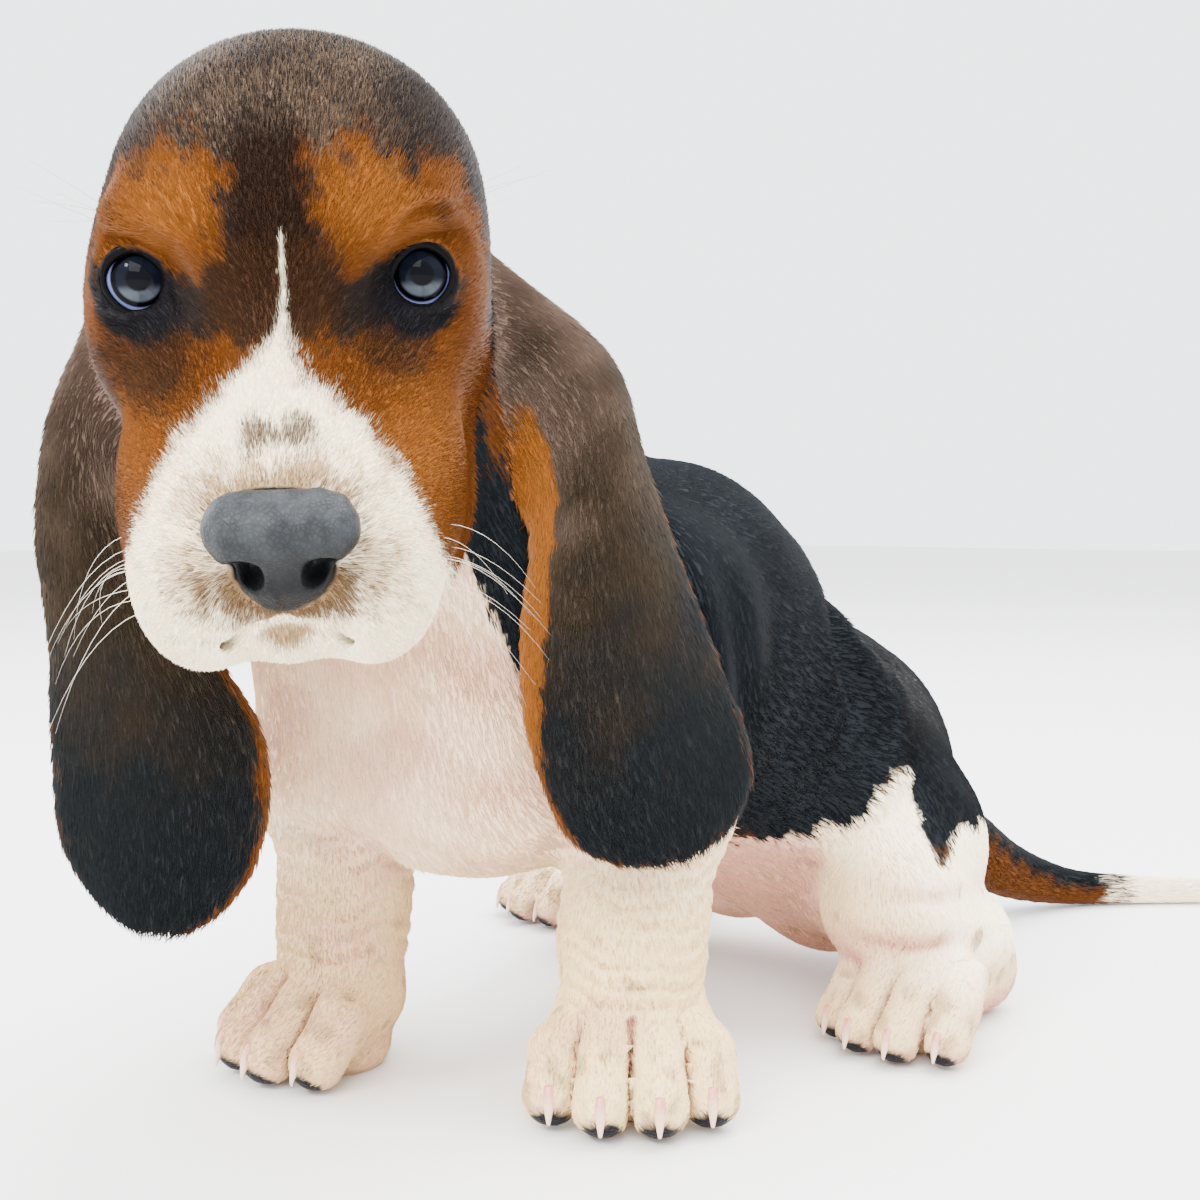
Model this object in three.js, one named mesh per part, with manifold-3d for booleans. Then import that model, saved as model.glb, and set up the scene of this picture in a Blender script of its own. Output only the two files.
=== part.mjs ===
import * as THREE from "three";
import Module from "manifold-3d";

// A basset hound puppy of about eight weeks, sitting on its rump with its head turned to its left.
// Millimetres, +Z up. The rump is towards +Y, the puppy's own left is +X and the floor is z = 0.
// The flesh is one field of distance to the skin, made of eggs and bones that run into one another. It
// becomes a closed surface, which thin gaps then part into head, neck, torso, legs and tail.

const wasm = await Module();
wasm.setup();

const DEGREE = Math.PI / 180;

// Driving sizes. The gap is the room between neighbouring solids.
const GAP = 0.3;
const OVERLAP = 6;

// The head: where it sits, how it is turned, pitched down and rolled, and its eyes and nose, given in its
// own frame, which starts midway between the eyes: x left, y out along the muzzle, z up.
const HEAD_AT = [11, -144.7, 196.5];
const HEAD_TURN = 53.5;
const HEAD_PITCH = 29;
const HEAD_ROLL = 2.4;
const EYE = { at: [30, -5.5, -2], radius: 8.5, lids: 10.4, outward: 8, raised: 19 };
const NOSE_SHIFT = 1.2;
const NOSE_PITCH = 8;
const NOSE_HALF = [15.2, 12.6];

// The ears: thickness, where the rounded tip starts and how square it is, the front, middle and rear lines
// from root to tip in the head's frame, and how many rows of points they take.
const EAR = { thickness: 3.8, edge: 0.12, tipStart: 0.85, tipShape: 2.6, rows: 15, tipRows: 6 };
const EAR_COLUMNS = [0, 0.06, 0.2, 0.38, 0.56, 0.74, 0.9, 1];
const EAR_LINES = {
  ear_left: {
    front: [
      [33, -15, -38], [46, -6, -46], [54, 14, -58], [51, 32, -71],
      [50, 46, -84], [53, 56, -96], [58, 63, -107], [66, 66, -116],
    ],
    middle: [
      [37, -31, -20], [54, -24, -24], [68, -4, -36], [70, 24, -55],
      [72, 43, -73], [75, 55, -90], [78, 61, -103], [82, 65, -115],
    ],
    rear: [
      [37, -47, -2], [55, -39, -17], [76, -24, -32], [82, -2, -49],
      [88, 18, -65], [95, 35, -82], [101, 49, -98], [101, 59, -112],
    ],
  },
  ear_right: {
    front: [
      [-33, -15, -38], [-40, -6, -50], [-30, 12, -66], [-18, 32, -78],
      [-10, 42, -90], [-9, 48, -103], [-12, 53, -117], [-18, 57, -130],
    ],
    middle: [
      [-37, -31, -20], [-47, -22, -33], [-49, -4, -50], [-42, 18, -71],
      [-37, 32, -88], [-35, 42, -105], [-34, 50, -121], [-35, 54, -137],
    ],
    rear: [
      [-37, -47, -2], [-45, -38, -20], [-56, -20, -40], [-60, -4, -60],
      [-58, 11, -83], [-58, 25, -102], [-57, 37, -119], [-53, 45, -135],
    ],
  },
};

// The paws: how far each toe stands to the side and ahead, the heights of knuckle and tip, and the claws.
const TOE_SIDES = [-18, -6.4, 6.4, 18];
const TOE_REACH = [20, 27, 27, 20];
const KNUCKLE_HEIGHT = 16;
const TIP_HEIGHT = 8;
const FORE_SIZE = 1;
const HIND_SIZE = 0.9;
const CLAW = { length: 8, drop: 4.2, wide: 2.2, tall: 2.8, lean: 26, sides: 7, rows: [0, 0.3, 0.6, 0.85] };

// The tail: points and radii from root to tip, laid down where it reaches the floor.
const TAIL = [
  [[3, 104, 52], 15], [[4, 124, 41], 13], [[4, 144, 29.5], 12.2], [[5, 164, 18.5], 11], [[9, 182, 11.5], 9],
  [[15, 198, 7.2], 7.2], [[26, 213, 5.8], 6], [[44, 233, 5], 5.2], [[58, 243, 5.4], 3.2],
];
const TAIL_PIECES = 20;

// How finely head and body are read and how many triangles each keeps.
const HEAD_CELL = 2;
const BODY_CELL = 3;
const HEAD_TRIANGLES = 3140;
const BODY_TRIANGLES = 3900;

// Plain helpers for points.
const add = (a, b) => [a[0] + b[0], a[1] + b[1], a[2] + b[2]];
const minus = (a, b) => [a[0] - b[0], a[1] - b[1], a[2] - b[2]];
const times = (a, k) => [a[0] * k, a[1] * k, a[2] * k];
const dot = (a, b) => a[0] * b[0] + a[1] * b[1] + a[2] * b[2];
const cross = (a, b) => [
  a[1] * b[2] - a[2] * b[1],
  a[2] * b[0] - a[0] * b[2],
  a[0] * b[1] - a[1] * b[0],
];
const length = (a) => Math.hypot(a[0], a[1], a[2]);
const unit = (a) => times(a, 1 / (length(a) || 1));
const mix = (a, b, t) => a + (b - a) * t;
const mixPoint = (a, b, t) => [mix(a[0], b[0], t), mix(a[1], b[1], t), mix(a[2], b[2], t)];
const clampUnit = (t) => Math.min(1, Math.max(0, t));

// Frames: an origin with the axes left, forward and up of a piece of the animal.

function makeFrame(origin, turn, pitch = 0, roll = 0) {
  const ahead = [Math.sin(turn * DEGREE), -Math.cos(turn * DEGREE), 0];
  const side = [Math.cos(turn * DEGREE), Math.sin(turn * DEGREE), 0];
  const [cp, sp] = [Math.cos(pitch * DEGREE), Math.sin(pitch * DEGREE)];
  const [cr, sr] = [Math.cos(roll * DEGREE), Math.sin(roll * DEGREE)];
  const forward = add(times(ahead, cp), [0, 0, -sp]);
  const level = add(times(ahead, sp), [0, 0, cp]);
  const left = add(times(side, cr), times(level, sr));
  const up = minus(times(level, cr), times(side, sr));
  return { origin, left, forward, up };
}

function toWorld(frame, [x, y, z]) {
  const sideways = add(frame.origin, times(frame.left, x));
  return add(sideways, add(times(frame.forward, y), times(frame.up, z)));
}

// Fields of signed distance.

// Two distances joined with a fillet of about k.
function join(a, b, k) {
  const h = Math.max(k - Math.abs(a - b), 0) / k;
  return Math.min(a, b) - 0.25 * h * h * k;
}

const blend = (k, ...fields) => (x, y, z) => {
  let d = fields[0](x, y, z);
  for (let i = 1; i < fields.length; i++) d = join(d, fields[i](x, y, z), k);
  return d;
};

const carve = (k, body, tool) => (x, y, z) => -join(-body(x, y, z), tool(x, y, z), k);

// An egg: an ellipsoid with half sizes r, pitched about X and then turned about Z, in degrees.
function egg([cx, cy, cz], [rx, ry, rz], pitch = 0, turn = 0) {
  const m = new THREE.Matrix4().makeRotationFromEuler(
    new THREE.Euler(pitch * DEGREE, 0, turn * DEGREE, "ZYX"),
  ).elements;
  return (x, y, z) => {
    const [dx, dy, dz] = [x - cx, y - cy, z - cz];
    const px = (m[0] * dx + m[1] * dy + m[2] * dz) / rx;
    const py = (m[4] * dx + m[5] * dy + m[6] * dz) / ry;
    const pz = (m[8] * dx + m[9] * dy + m[10] * dz) / rz;
    const near = Math.sqrt(px * px + py * py + pz * pz);
    const slope = Math.sqrt((px / rx) ** 2 + (py / ry) ** 2 + (pz / rz) ** 2);
    return slope < 1e-9 ? -Math.min(rx, ry, rz) : (near * (near - 1)) / slope;
  };
}

// A bone: a rounded rod from a to b whose radius runs from ra to rb.
function bone(a, ra, b, rb) {
  const [ax, ay, az] = a;
  const [bx, by, bz] = minus(b, a);
  const along = 1 / (bx * bx + by * by + bz * bz);
  return (x, y, z) => {
    const [px, py, pz] = [x - ax, y - ay, z - az];
    const t = clampUnit((px * bx + py * by + pz * bz) * along);
    return Math.hypot(px - bx * t, py - by * t, pz - bz * t) - (ra + (rb - ra) * t);
  };
}

// A limb: bones end to end through [point, radius] pairs.
const limb = (k, ...joints) =>
  blend(k, ...joints.slice(1).map(([b, rb], i) => bone(joints[i][0], joints[i][1], b, rb)));

// A cord: a rod that bends smoothly through [point, radius] pairs.
function cord(pieces, ...joints) {
  const path = new THREE.CatmullRomCurve3(joints.map(([p]) => new THREE.Vector3(...p)));
  const girth = new THREE.SplineCurve(joints.map(([, r], i) => new THREE.Vector2(i, r)));
  const knots = Array.from({ length: pieces + 1 }, (_, i) => {
    const t = i / pieces;
    return [path.getPoint(t).toArray(), girth.getPoint(t).y];
  });
  return limb(0.5, ...knots);
}

// A field given in a frame of its own, read where it is placed. Far from it a plain distance will do.
function placed(frame, reach, field) {
  const { origin, left, forward, up } = frame;
  return (x, y, z) => {
    const d = [x - origin[0], y - origin[1], z - origin[2]];
    const far = length(d) - reach;
    return far > 40 ? far : field(dot(d, left), dot(d, forward), dot(d, up));
  };
}

const bothSides = (field) => (x, y, z) => field(Math.abs(x), y, z);

const shifted = (dx, field) => (x, y, z) => field(x - dx, y, z);

// Head.

const HEAD = makeFrame(HEAD_AT, HEAD_TURN, HEAD_PITCH, HEAD_ROLL);
const NOSE = makeFrame(toWorld(HEAD, [NOSE_SHIFT, 76, -27.5]), HEAD_TURN, NOSE_PITCH, HEAD_ROLL);

const eyeLevel = Math.cos(EYE.raised * DEGREE);
const eyeAim = [
  Math.sin(EYE.outward * DEGREE) * eyeLevel,
  Math.cos(EYE.outward * DEGREE) * eyeLevel,
  Math.sin(EYE.raised * DEGREE),
];
const eyeFront = (reach) => add(EYE.at, times(eyeAim, reach));

const skull = blend(
  14,
  egg([4, -34, 4], [43, 46, 39.5]),
  egg([1, -16, 7], [33, 26, 29]),
  egg([2, -66, 4], [20, 18, 18]),
  bothSides(egg([28, -20, -18], [17.5, 26, 25])),
);
const brow = bothSides(egg([22, -5, 13], [14, 10, 8]));
const muzzle = blend(
  10,
  bone([0, 4, -14], 14, [0, 60, -27], 11),
  bothSides(egg([14, 36, -38], [17, 34, 20])),
  egg([20, 12, -37], [19, 26, 26]),
  egg([-18, 12, -37], [18, 26, 26]),
);
const lips = blend(
  6,
  bothSides(blend(6, egg([17, 43, -50], [15, 21, 18]), egg([23.5, 20, -49], [12.5, 24, 20]))),
  egg([0, 50, -39], [13, 18, 12]),
);
const jaw = blend(
  8,
  egg([0, 43, -57], [14, 17, 9.5]),
  bone([0, 34, -52], 15, [0, -16, -47], 23),
);
const socketHollow = bothSides(egg(eyeFront(12), [12, 7, 9], EYE.raised, -EYE.outward));
const lidBall = bothSides(egg(EYE.at, Array(3).fill(EYE.lids)));
const lidOpening = bothSides(egg(eyeFront(13), [7.8, 12, 7.2], EYE.raised, -EYE.outward));
const nosePad = blend(
  3,
  egg([0, 69, -24], [11.5, 8, 8]),
  bothSides(egg([8, 68.5, -23.5], [6.8, 7.6, 6.9])),
  egg([0, 69.2, -33], [9, 7.6, 6]),
  egg([0, 67.5, -36.5], [6, 6.6, 4.3]),
);
const nostrils = bothSides(
  blend(2, egg([7.4, 76.5, -29.6], [3.7, 7, 3.1]), egg([11, 75.5, -29.6], [3.2, 5, 1.6])),
);
const philtrum = bone([0, 77, -33], 0.7, [0, 67, -48], 0.9);
const mouthLine = bothSides(
  blend(1, bone([0, 66, -46.5], 1.7, [11, 62, -52.5], 1.9), bone([11, 62, -52.5], 1.9, [27, 39, -63], 1.7)),
);

const headShape = (() => {
  const face = blend(9, blend(12, skull, muzzle), blend(6, lips, jaw));
  const browed = carve(8, blend(7, face, brow), socketHollow);
  const lidded = blend(3, browed, lidBall);
  const nosed = blend(3, lidded, shifted(NOSE_SHIFT, nosePad));
  return [lidOpening, shifted(NOSE_SHIFT, nostrils), shifted(NOSE_SHIFT, philtrum), mouthLine].reduce(
    (body, tool) => carve(1.2, body, tool),
    nosed,
  );
})();
const HEAD_REACH = 85;
const head = placed(HEAD, HEAD_REACH, headShape);

// Trunk and neck.

const trunk = blend(
  22,
  egg([-4, -56, 109], [44, 44, 56], 0, 20),
  egg([1, -15, 104], [47, 50, 58], -10, 8),
  egg([3, 36, 73], [47, 44, 46], -25),
  egg([2, 72, 55], [36, 38, 49], -12),
);
const chest = egg([-2, -84, 92], [38, 26, 38], 0, 25);
const neck = blend(
  20,
  bone([-6, -78, 128], 40, [-26, -108, 192], 35),
  bone([-8, -56, 142], 32, [-34, -96, 208], 27),
);

// Legs. Each paw has a frame on the floor under the wrist or hock, turned the way the toes point.

const LEFT_FOREPAW = makeFrame([36, -60, 0], 43);
const RIGHT_FOREPAW = makeFrame([-40, -92, 0], -4);
const LEFT_HINDPAW = makeFrame([62, 31, 0], 2);
const RIGHT_HINDPAW = makeFrame([-106, 62, 0], -24);

// A toe from its root in the paw over the knuckle to the tip, on the side given, for a paw of this size.
function toe(i, size) {
  const side = TOE_SIDES[i] * size;
  const reach = TOE_REACH[i] * size;
  const root = [side * 0.55, 0, 19 * size];
  const knuckle = [side * 0.95, reach * 0.62, KNUCKLE_HEIGHT * size];
  const tip = [side * 1.04, reach, TIP_HEIGHT * size];
  return limb(3, [root, 10 * size], [knuckle, 7.6 * size], [tip, 7.6 * size]);
}

function paw(frame, size) {
  const toes = blend(1.6, ...TOE_SIDES.map((_, i) => toe(i, size)));
  const pad = egg([0, 4 * size, 5 * size], [17 * size, 15 * size, 9 * size]);
  return placed(frame, 40, blend(5, toes, pad));
}

const leftForeleg = limb(
  10,
  [[25, -42, 118], 28],
  [[33, -50, 78], 22],
  [[36, -60, 42], 17.5],
  [[37, -62, 20], 17],
);
const rightForeleg = limb(
  10,
  [[-38, -84, 112], 34],
  [[-42, -88, 78], 24.5],
  [[-40, -92, 42], 16.5],
  [[-40, -94, 20], 17],
);
const leftThigh = blend(
  14,
  egg([29, 54, 50], [25, 32, 36], 20),
  bone([38, 50, 48], 27, [51, 26, 38], 18),
);
const leftShank = limb(6, [[52, 28, 34], 17], [[55, 60, 22], 13], [[56, 63, 13], 12]);
const leftFoot = bone([56, 63, 12], 12, [62, 28, 12], 12);
const rightThigh = blend(
  14,
  egg([-30, 64, 50], [28, 36, 38], 20),
  bone([-42, 60, 46], 27, [-68, 36, 38], 18),
);
const rightShank = limb(6, [[-70, 38, 34], 17], [[-84, 90, 22], 13], [[-86, 96, 13], 12]);
const rightFoot = bone([-86, 96, 12], 12, [-104, 60, 12], 12);
const tail = cord(TAIL_PIECES, ...TAIL);

const body = blend(14, blend(18, trunk, chest), neck);
const limbs = [
  blend(6, leftForeleg, paw(LEFT_FOREPAW, FORE_SIZE)),
  blend(6, rightForeleg, paw(RIGHT_FOREPAW, FORE_SIZE)),
  blend(6, blend(6, leftThigh, leftShank), blend(6, leftFoot, paw(LEFT_HINDPAW, HIND_SIZE))),
  blend(6, blend(6, rightThigh, rightShank), blend(6, rightFoot, paw(RIGHT_HINDPAW, HIND_SIZE))),
];
const flesh = blend(8, blend(12, body, head), ...limbs, tail);

// From a field to a surface: each small cube of space is split into six tetrahedra round its long
// diagonal, so that the surface is always closed. Blocks far from it take the value at their centre.

const TETRAHEDRA = [[1, 3], [1, 5], [2, 3], [2, 6], [4, 5], [4, 6]].map(([a, b]) => [0, a, b, 7]);
const BLOCK = 4;
const BLOCK_REACH = 1.8;

function sample(field, low, counts, cell) {
  const [nx, ny, nz] = counts;
  const values = new Float32Array(nx * ny * nz);
  const farther = BLOCK * cell * BLOCK_REACH;
  for (let k0 = 0; k0 < nz; k0 += BLOCK)
    for (let j0 = 0; j0 < ny; j0 += BLOCK)
      for (let i0 = 0; i0 < nx; i0 += BLOCK) {
        const middle = [i0, j0, k0].map((n, axis) => low[axis] + (n + BLOCK / 2) * cell);
        const far = field(...middle);
        const solve = Math.abs(far) < farther;
        for (let k = k0; k < Math.min(nz, k0 + BLOCK); k++)
          for (let j = j0; j < Math.min(ny, j0 + BLOCK); j++)
            for (let i = i0; i < Math.min(nx, i0 + BLOCK); i++)
              values[i + nx * (j + ny * k)] = solve
                ? field(low[0] + i * cell, low[1] + j * cell, low[2] + k * cell)
                : far;
      }
  return values;
}

function polygonise(field, low, high, cell) {
  const counts = low.map((l, axis) => Math.ceil((high[axis] - l) / cell) + 1);
  const [nx, ny, nz] = counts;
  const values = sample(field, low, counts, cell);
  const step = [1, nx, nx * ny];
  const corner = [0, 1, 2, 3, 4, 5, 6, 7].map(
    (c) => (c & 1) * step[0] + ((c >> 1) & 1) * step[1] + (c >> 2) * step[2],
  );
  const points = [];
  const triangles = [];
  const made = new Map();
  const place = (index) => [
    low[0] + (index % nx) * cell,
    low[1] + (Math.floor(index / nx) % ny) * cell,
    low[2] + Math.floor(index / (nx * ny)) * cell,
  ];
  const crossing = (base, a, b) => {
    const [from, to] = a < b ? [a, b] : [b, a];
    const start = base + corner[from];
    const key = start * 8 + (to ^ from);
    if (!made.has(key)) {
      const [va, vb] = [values[start], values[base + corner[to]]];
      const t = Math.min(0.9, Math.max(0.1, va / (va - vb)));
      made.set(key, points.length);
      points.push(mixPoint(place(start), place(base + corner[to]), t));
    }
    return made.get(key);
  };
  const emit = (a, b, c, outward) => {
    const normal = cross(minus(points[b], points[a]), minus(points[c], points[a]));
    triangles.push(dot(normal, outward) > 0 ? [a, b, c] : [a, c, b]);
  };
  for (let k = 0; k < nz - 1; k++)
    for (let j = 0; j < ny - 1; j++)
      for (let i = 0; i < nx - 1; i++) {
        const base = i + nx * (j + ny * k);
        const first = values[base] < 0;
        if (corner.every((c) => values[base + c] < 0 === first)) continue;
        for (const tetra of TETRAHEDRA) {
          const inside = tetra.filter((c) => values[base + corner[c]] < 0);
          const outside = tetra.filter((c) => values[base + corner[c]] >= 0);
          if (!inside.length || !outside.length) continue;
          const centre = (list) =>
            times(list.map((c) => [c & 1, (c >> 1) & 1, c >> 2]).reduce(add), 1 / list.length);
          const outward = minus(centre(outside), centre(inside));
          const at = (a, b) => crossing(base, a, b);
          if (inside.length === 1) emit(...outside.map((o) => at(inside[0], o)), outward);
          else if (outside.length === 1) emit(...inside.map((n) => at(n, outside[0])), outward);
          else {
            const [n0, n1] = inside;
            const [o0, o1] = outside;
            emit(at(n0, o0), at(n0, o1), at(n1, o1), outward);
            emit(at(n0, o0), at(n1, o1), at(n1, o0), outward);
          }
        }
      }
  return { points, triangles };
}

// A plainer surface: the edge whose removal moves the surface least goes first, by the sum of squared
// distances to the planes of the triangles it stood for. The surface stays closed.

function planeSum(a, b, c, weight) {
  const n = cross(minus(b, a), minus(c, a));
  const area = length(n);
  if (area < 1e-12) return new Float64Array(10);
  const [x, y, z] = times(n, 1 / area);
  const w = -dot([x, y, z], a);
  const s = area * weight;
  const products = [x * x, x * y, x * z, x * w, y * y, y * z, y * w, z * z, z * w, w * w];
  return Float64Array.from(products, (product) => product * s);
}

function misfit(q, [x, y, z]) {
  return (
    q[0] * x * x + 2 * q[1] * x * y + 2 * q[2] * x * z + 2 * q[3] * x +
    q[4] * y * y + 2 * q[5] * y * z + 2 * q[6] * y + q[7] * z * z + 2 * q[8] * z + q[9]
  );
}

function bestPoint(q, a, b) {
  const m = new THREE.Matrix3().set(q[0], q[1], q[2], q[1], q[4], q[5], q[2], q[5], q[7]);
  const middle = mixPoint(a, b, 0.5);
  const size = q[0] + q[4] + q[7];
  if (Math.abs(m.determinant()) > 1e-3 * size ** 3) {
    const best = new THREE.Vector3(-q[3], -q[6], -q[8]).applyMatrix3(m.invert()).toArray();
    if (length(minus(best, middle)) < 2 * length(minus(a, b))) return best;
  }
  return [a, b, middle].reduce((best, p) => (misfit(q, p) < misfit(q, best) ? p : best));
}

// A heap that gives back the cheapest item first.
class Heap {
  items = [];
  push(item) {
    const { items } = this;
    let i = items.push(item) - 1;
    while (i > 0 && items[(i - 1) >> 1].cost > item.cost) {
      items[i] = items[(i - 1) >> 1];
      i = (i - 1) >> 1;
    }
    items[i] = item;
  }
  pop() {
    const { items } = this;
    const top = items[0];
    const last = items.pop();
    if (!items.length) return top;
    let i = 0;
    for (;;) {
      let child = 2 * i + 1;
      if (child >= items.length) break;
      if (child + 1 < items.length && items[child + 1].cost < items[child].cost) child++;
      if (items[child].cost >= last.cost) break;
      items[i] = items[child];
      i = child;
    }
    items[i] = last;
    return top;
  }
}

// What a long edge costs, so that its neighbours stay even.
const LENGTH_COST = 2e-4;

function thin({ points, triangles }, keep, weightAt) {
  const faces = triangles.map((t) => [...t]);
  const around = points.map(() => new Set());
  const sums = points.map(() => new Float64Array(10));
  const stamp = new Uint32Array(points.length);
  faces.forEach((face, f) => {
    const sum = planeSum(...face.map((v) => points[v]), weightAt(points[face[0]]));
    for (const v of face) {
      around[v].add(f);
      for (let i = 0; i < 10; i++) sums[v][i] += sum[i];
    }
  });
  const neighbours = (v) => new Set([...around[v]].flatMap((f) => faces[f]).filter((n) => n !== v));
  const heap = new Heap();
  const offer = (a, b) => {
    const q = sums[a].map((s, i) => s + sums[b][i]);
    const to = bestPoint(q, points[a], points[b]);
    const span = length(minus(points[a], points[b]));
    const cost = misfit(q, to) + LENGTH_COST * span ** 3 * weightAt(to);
    heap.push({ cost, a, b, to, q, stamps: stamp[a] + stamp[b] });
  };
  points.forEach((_, a) => neighbours(a).forEach((b) => a < b && offer(a, b)));
  const turns = (v, other, to) =>
    [...around[v]].some((f) => {
      if (faces[f].includes(other)) return false;
      const old = faces[f].map((n) => points[n]);
      const moved = faces[f].map((n) => (n === v ? to : points[n]));
      const [n0, n1] = [old, moved].map(([a, b, c]) => cross(minus(b, a), minus(c, a)));
      return dot(n0, n1) < 0.25 * length(n0) * length(n1);
    });
  let left = faces.length;
  while (left > keep && heap.items.length) {
    const { a, b, to, q, stamps } = heap.pop();
    if (!around[a].size || !around[b].size || stamps !== stamp[a] + stamp[b]) continue;
    const [na, nb] = [neighbours(a), neighbours(b)];
    if (!na.has(b) || [...na].filter((n) => nb.has(n)).length !== 2) continue;
    if (turns(a, b, to) || turns(b, a, to)) continue;
    for (const f of [...around[b]]) {
      if (faces[f].includes(a)) {
        faces[f].forEach((v) => around[v].delete(f));
        faces[f] = null;
        left--;
      } else {
        faces[f] = faces[f].map((v) => (v === b ? a : v));
        around[a].add(f);
      }
    }
    around[b].clear();
    points[a] = to;
    sums[a] = q;
    stamp[a] += 1;
    neighbours(a).forEach((n) => offer(a, n));
  }
  return { points, triangles: faces.filter(Boolean) };
}

// Solids.

function solidOf({ points, triangles }) {
  return new wasm.Manifold(
    new wasm.Mesh({
      numProp: 3,
      vertProperties: new Float32Array(points.flat()),
      triVerts: new Uint32Array(triangles.flat()),
    }),
  );
}

// The solid of a plain shape, with its doubled points joined.
function solidFrom(geometry) {
  const keys = new Map();
  const points = [];
  const at = geometry.attributes.position;
  const which = (i) => {
    const p = [at.getX(i), at.getY(i), at.getZ(i)];
    const key = p.map((c) => Math.round(c * 1e4)).join(" ");
    if (!keys.has(key)) keys.set(key, points.push(p) - 1);
    return keys.get(key);
  };
  const order = geometry.index ? [...geometry.index.array] : [...Array(at.count).keys()];
  const triangles = [];
  for (let i = 0; i < order.length; i += 3) {
    const t = [which(order[i]), which(order[i + 1]), which(order[i + 2])];
    if (new Set(t).size === 3) triangles.push(t);
  }
  return solidOf({ points, triangles });
}

// A ball stretched to half sizes r, turned with a frame or left square.
function ball(centre, r, frame = null, fine = 3) {
  const geometry = new THREE.IcosahedronGeometry(1, fine).scale(...r);
  const basis = new THREE.Matrix4();
  if (frame) {
    const axes = [frame.left, times(frame.forward, -1), frame.up].map((a) => new THREE.Vector3(...a));
    basis.makeBasis(...axes);
  }
  return solidFrom(geometry.applyMatrix4(basis.setPosition(...centre)));
}

// An upright oval rod that starts at a point of a frame and runs forward.
function plug(frame, start, [rx, rz], reach, grow) {
  const rod = new THREE.CylinderGeometry(1, 1, reach, 32).translate(0, reach / 2 - grow, 0);
  const axes = [frame.left, frame.forward, times(frame.up, -1)].map((a) => new THREE.Vector3(...a));
  const turn = new THREE.Matrix4().makeBasis(axes[0], axes[1], axes[0].clone().cross(axes[1]));
  return solidFrom(rod.scale(rx, 1, rz).applyMatrix4(turn.setPosition(...toWorld(frame, start))));
}

// Everything on the side of a plane that its normal points to, kept a distance off it.
const FAR = 900;
function beyond(point, normal, off) {
  const block = new THREE.BoxGeometry(2 * FAR, 2 * FAR, FAR).translate(0, 0, FAR / 2 + off);
  const turn = new THREE.Quaternion().setFromUnitVectors(
    new THREE.Vector3(0, 0, 1),
    new THREE.Vector3(...unit(normal)),
  );
  return solidFrom(block.applyQuaternion(turn).translate(...point));
}

// The same mesh with its skin moved out by a distance.
function grown({ points, triangles }, distance) {
  const normals = points.map(() => [0, 0, 0]);
  for (const t of triangles) {
    const [a, b, c] = t.map((i) => points[i]);
    const n = cross(minus(b, a), minus(c, a));
    t.forEach((i) => (normals[i] = add(normals[i], n)));
  }
  return { points: points.map((p, i) => add(p, times(unit(normals[i]), distance))), triangles };
}

// The mesh turned so that its faces point outwards.
function outward({ points, triangles }) {
  const sixfold = triangles.map(([a, b, c]) => dot(points[a], cross(points[b], points[c])));
  if (sixfold.reduce((sum, v) => sum + v, 0) > 0) return { points, triangles };
  return { points, triangles: triangles.map(([a, b, c]) => [a, c, b]) };
}

// A tube of rings closed by a point at each end.
function rings(rows, start, end) {
  const n = rows[0].length;
  const points = [start, ...rows.flat(), end];
  const triangles = [];
  const last = points.length - 1;
  for (let j = 0; j < n; j++) {
    const next = (j + 1) % n;
    triangles.push([0, 1 + next, 1 + j]);
    for (let i = 0; i + 1 < rows.length; i++) {
      const [a, b] = [1 + i * n + j, 1 + i * n + next];
      triangles.push([a, b, b + n], [a, b + n, a + n]);
    }
    triangles.push([last, last - n + j, last - n + next]);
  }
  return outward({ points, triangles });
}

// Ears: a sheet hung between a front, a middle and a rear line that run from the root to the tip.

function ear({ front, middle, rear }) {
  const lines = [front, middle, rear].map(
    (line) => new THREE.CatmullRomCurve3(line.map((p) => new THREE.Vector3(...toWorld(HEAD, p)))),
  );
  const sheet = (u, v) => {
    const [f, m, r] = lines.map((line) => line.getPoint(u).toArray());
    const beyondStart = Math.max(0, (u - EAR.tipStart) / (1 - EAR.tipStart));
    const s = (2 * v - 1) * Math.max(0, 1 - beyondStart ** EAR.tipShape) ** (1 / EAR.tipShape);
    const [a, b, c] = [(s * s - s) / 2, 1 - s * s, (s * s + s) / 2];
    return add(add(times(f, a), times(m, b)), times(r, c));
  };
  const step = 0.01;
  const shell = (u, v, side) => {
    const [au, av] = [u, v].map((t) => Math.min(1 - step, Math.max(step, t)));
    const along = minus(sheet(au + step, v), sheet(au - step, v));
    const across = minus(sheet(u, av + step), sheet(u, av - step));
    const thick = EAR.thickness * (0.5 * Math.sqrt(1 - Math.abs(2 * v - 1) ** 5) + EAR.edge);
    return add(sheet(u, v), times(unit(cross(along, across)), side * thick));
  };
  const tipRow = (t) => EAR.tipStart + (1 - EAR.tipStart) * Math.sin(t * 90 * DEGREE);
  const rows = [];
  for (let i = 0; i < EAR.rows + EAR.tipRows; i++) {
    const straight = i <= EAR.rows;
    const u = straight ? (i / EAR.rows) * EAR.tipStart : tipRow((i - EAR.rows) / EAR.tipRows);
    const top = EAR_COLUMNS.map((v) => shell(u, v, 1));
    const under = EAR_COLUMNS.map((v) => shell(u, v, -1)).reverse();
    rows.push([...top, ...under]);
  }
  const middleOf = (row) => times(row.reduce(add), 1 / row.length);
  return rings(rows, middleOf(rows[0]), middleOf(rows.at(-1)));
}

// Claws: short horns that bend down from the toes, set in sockets.

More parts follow.
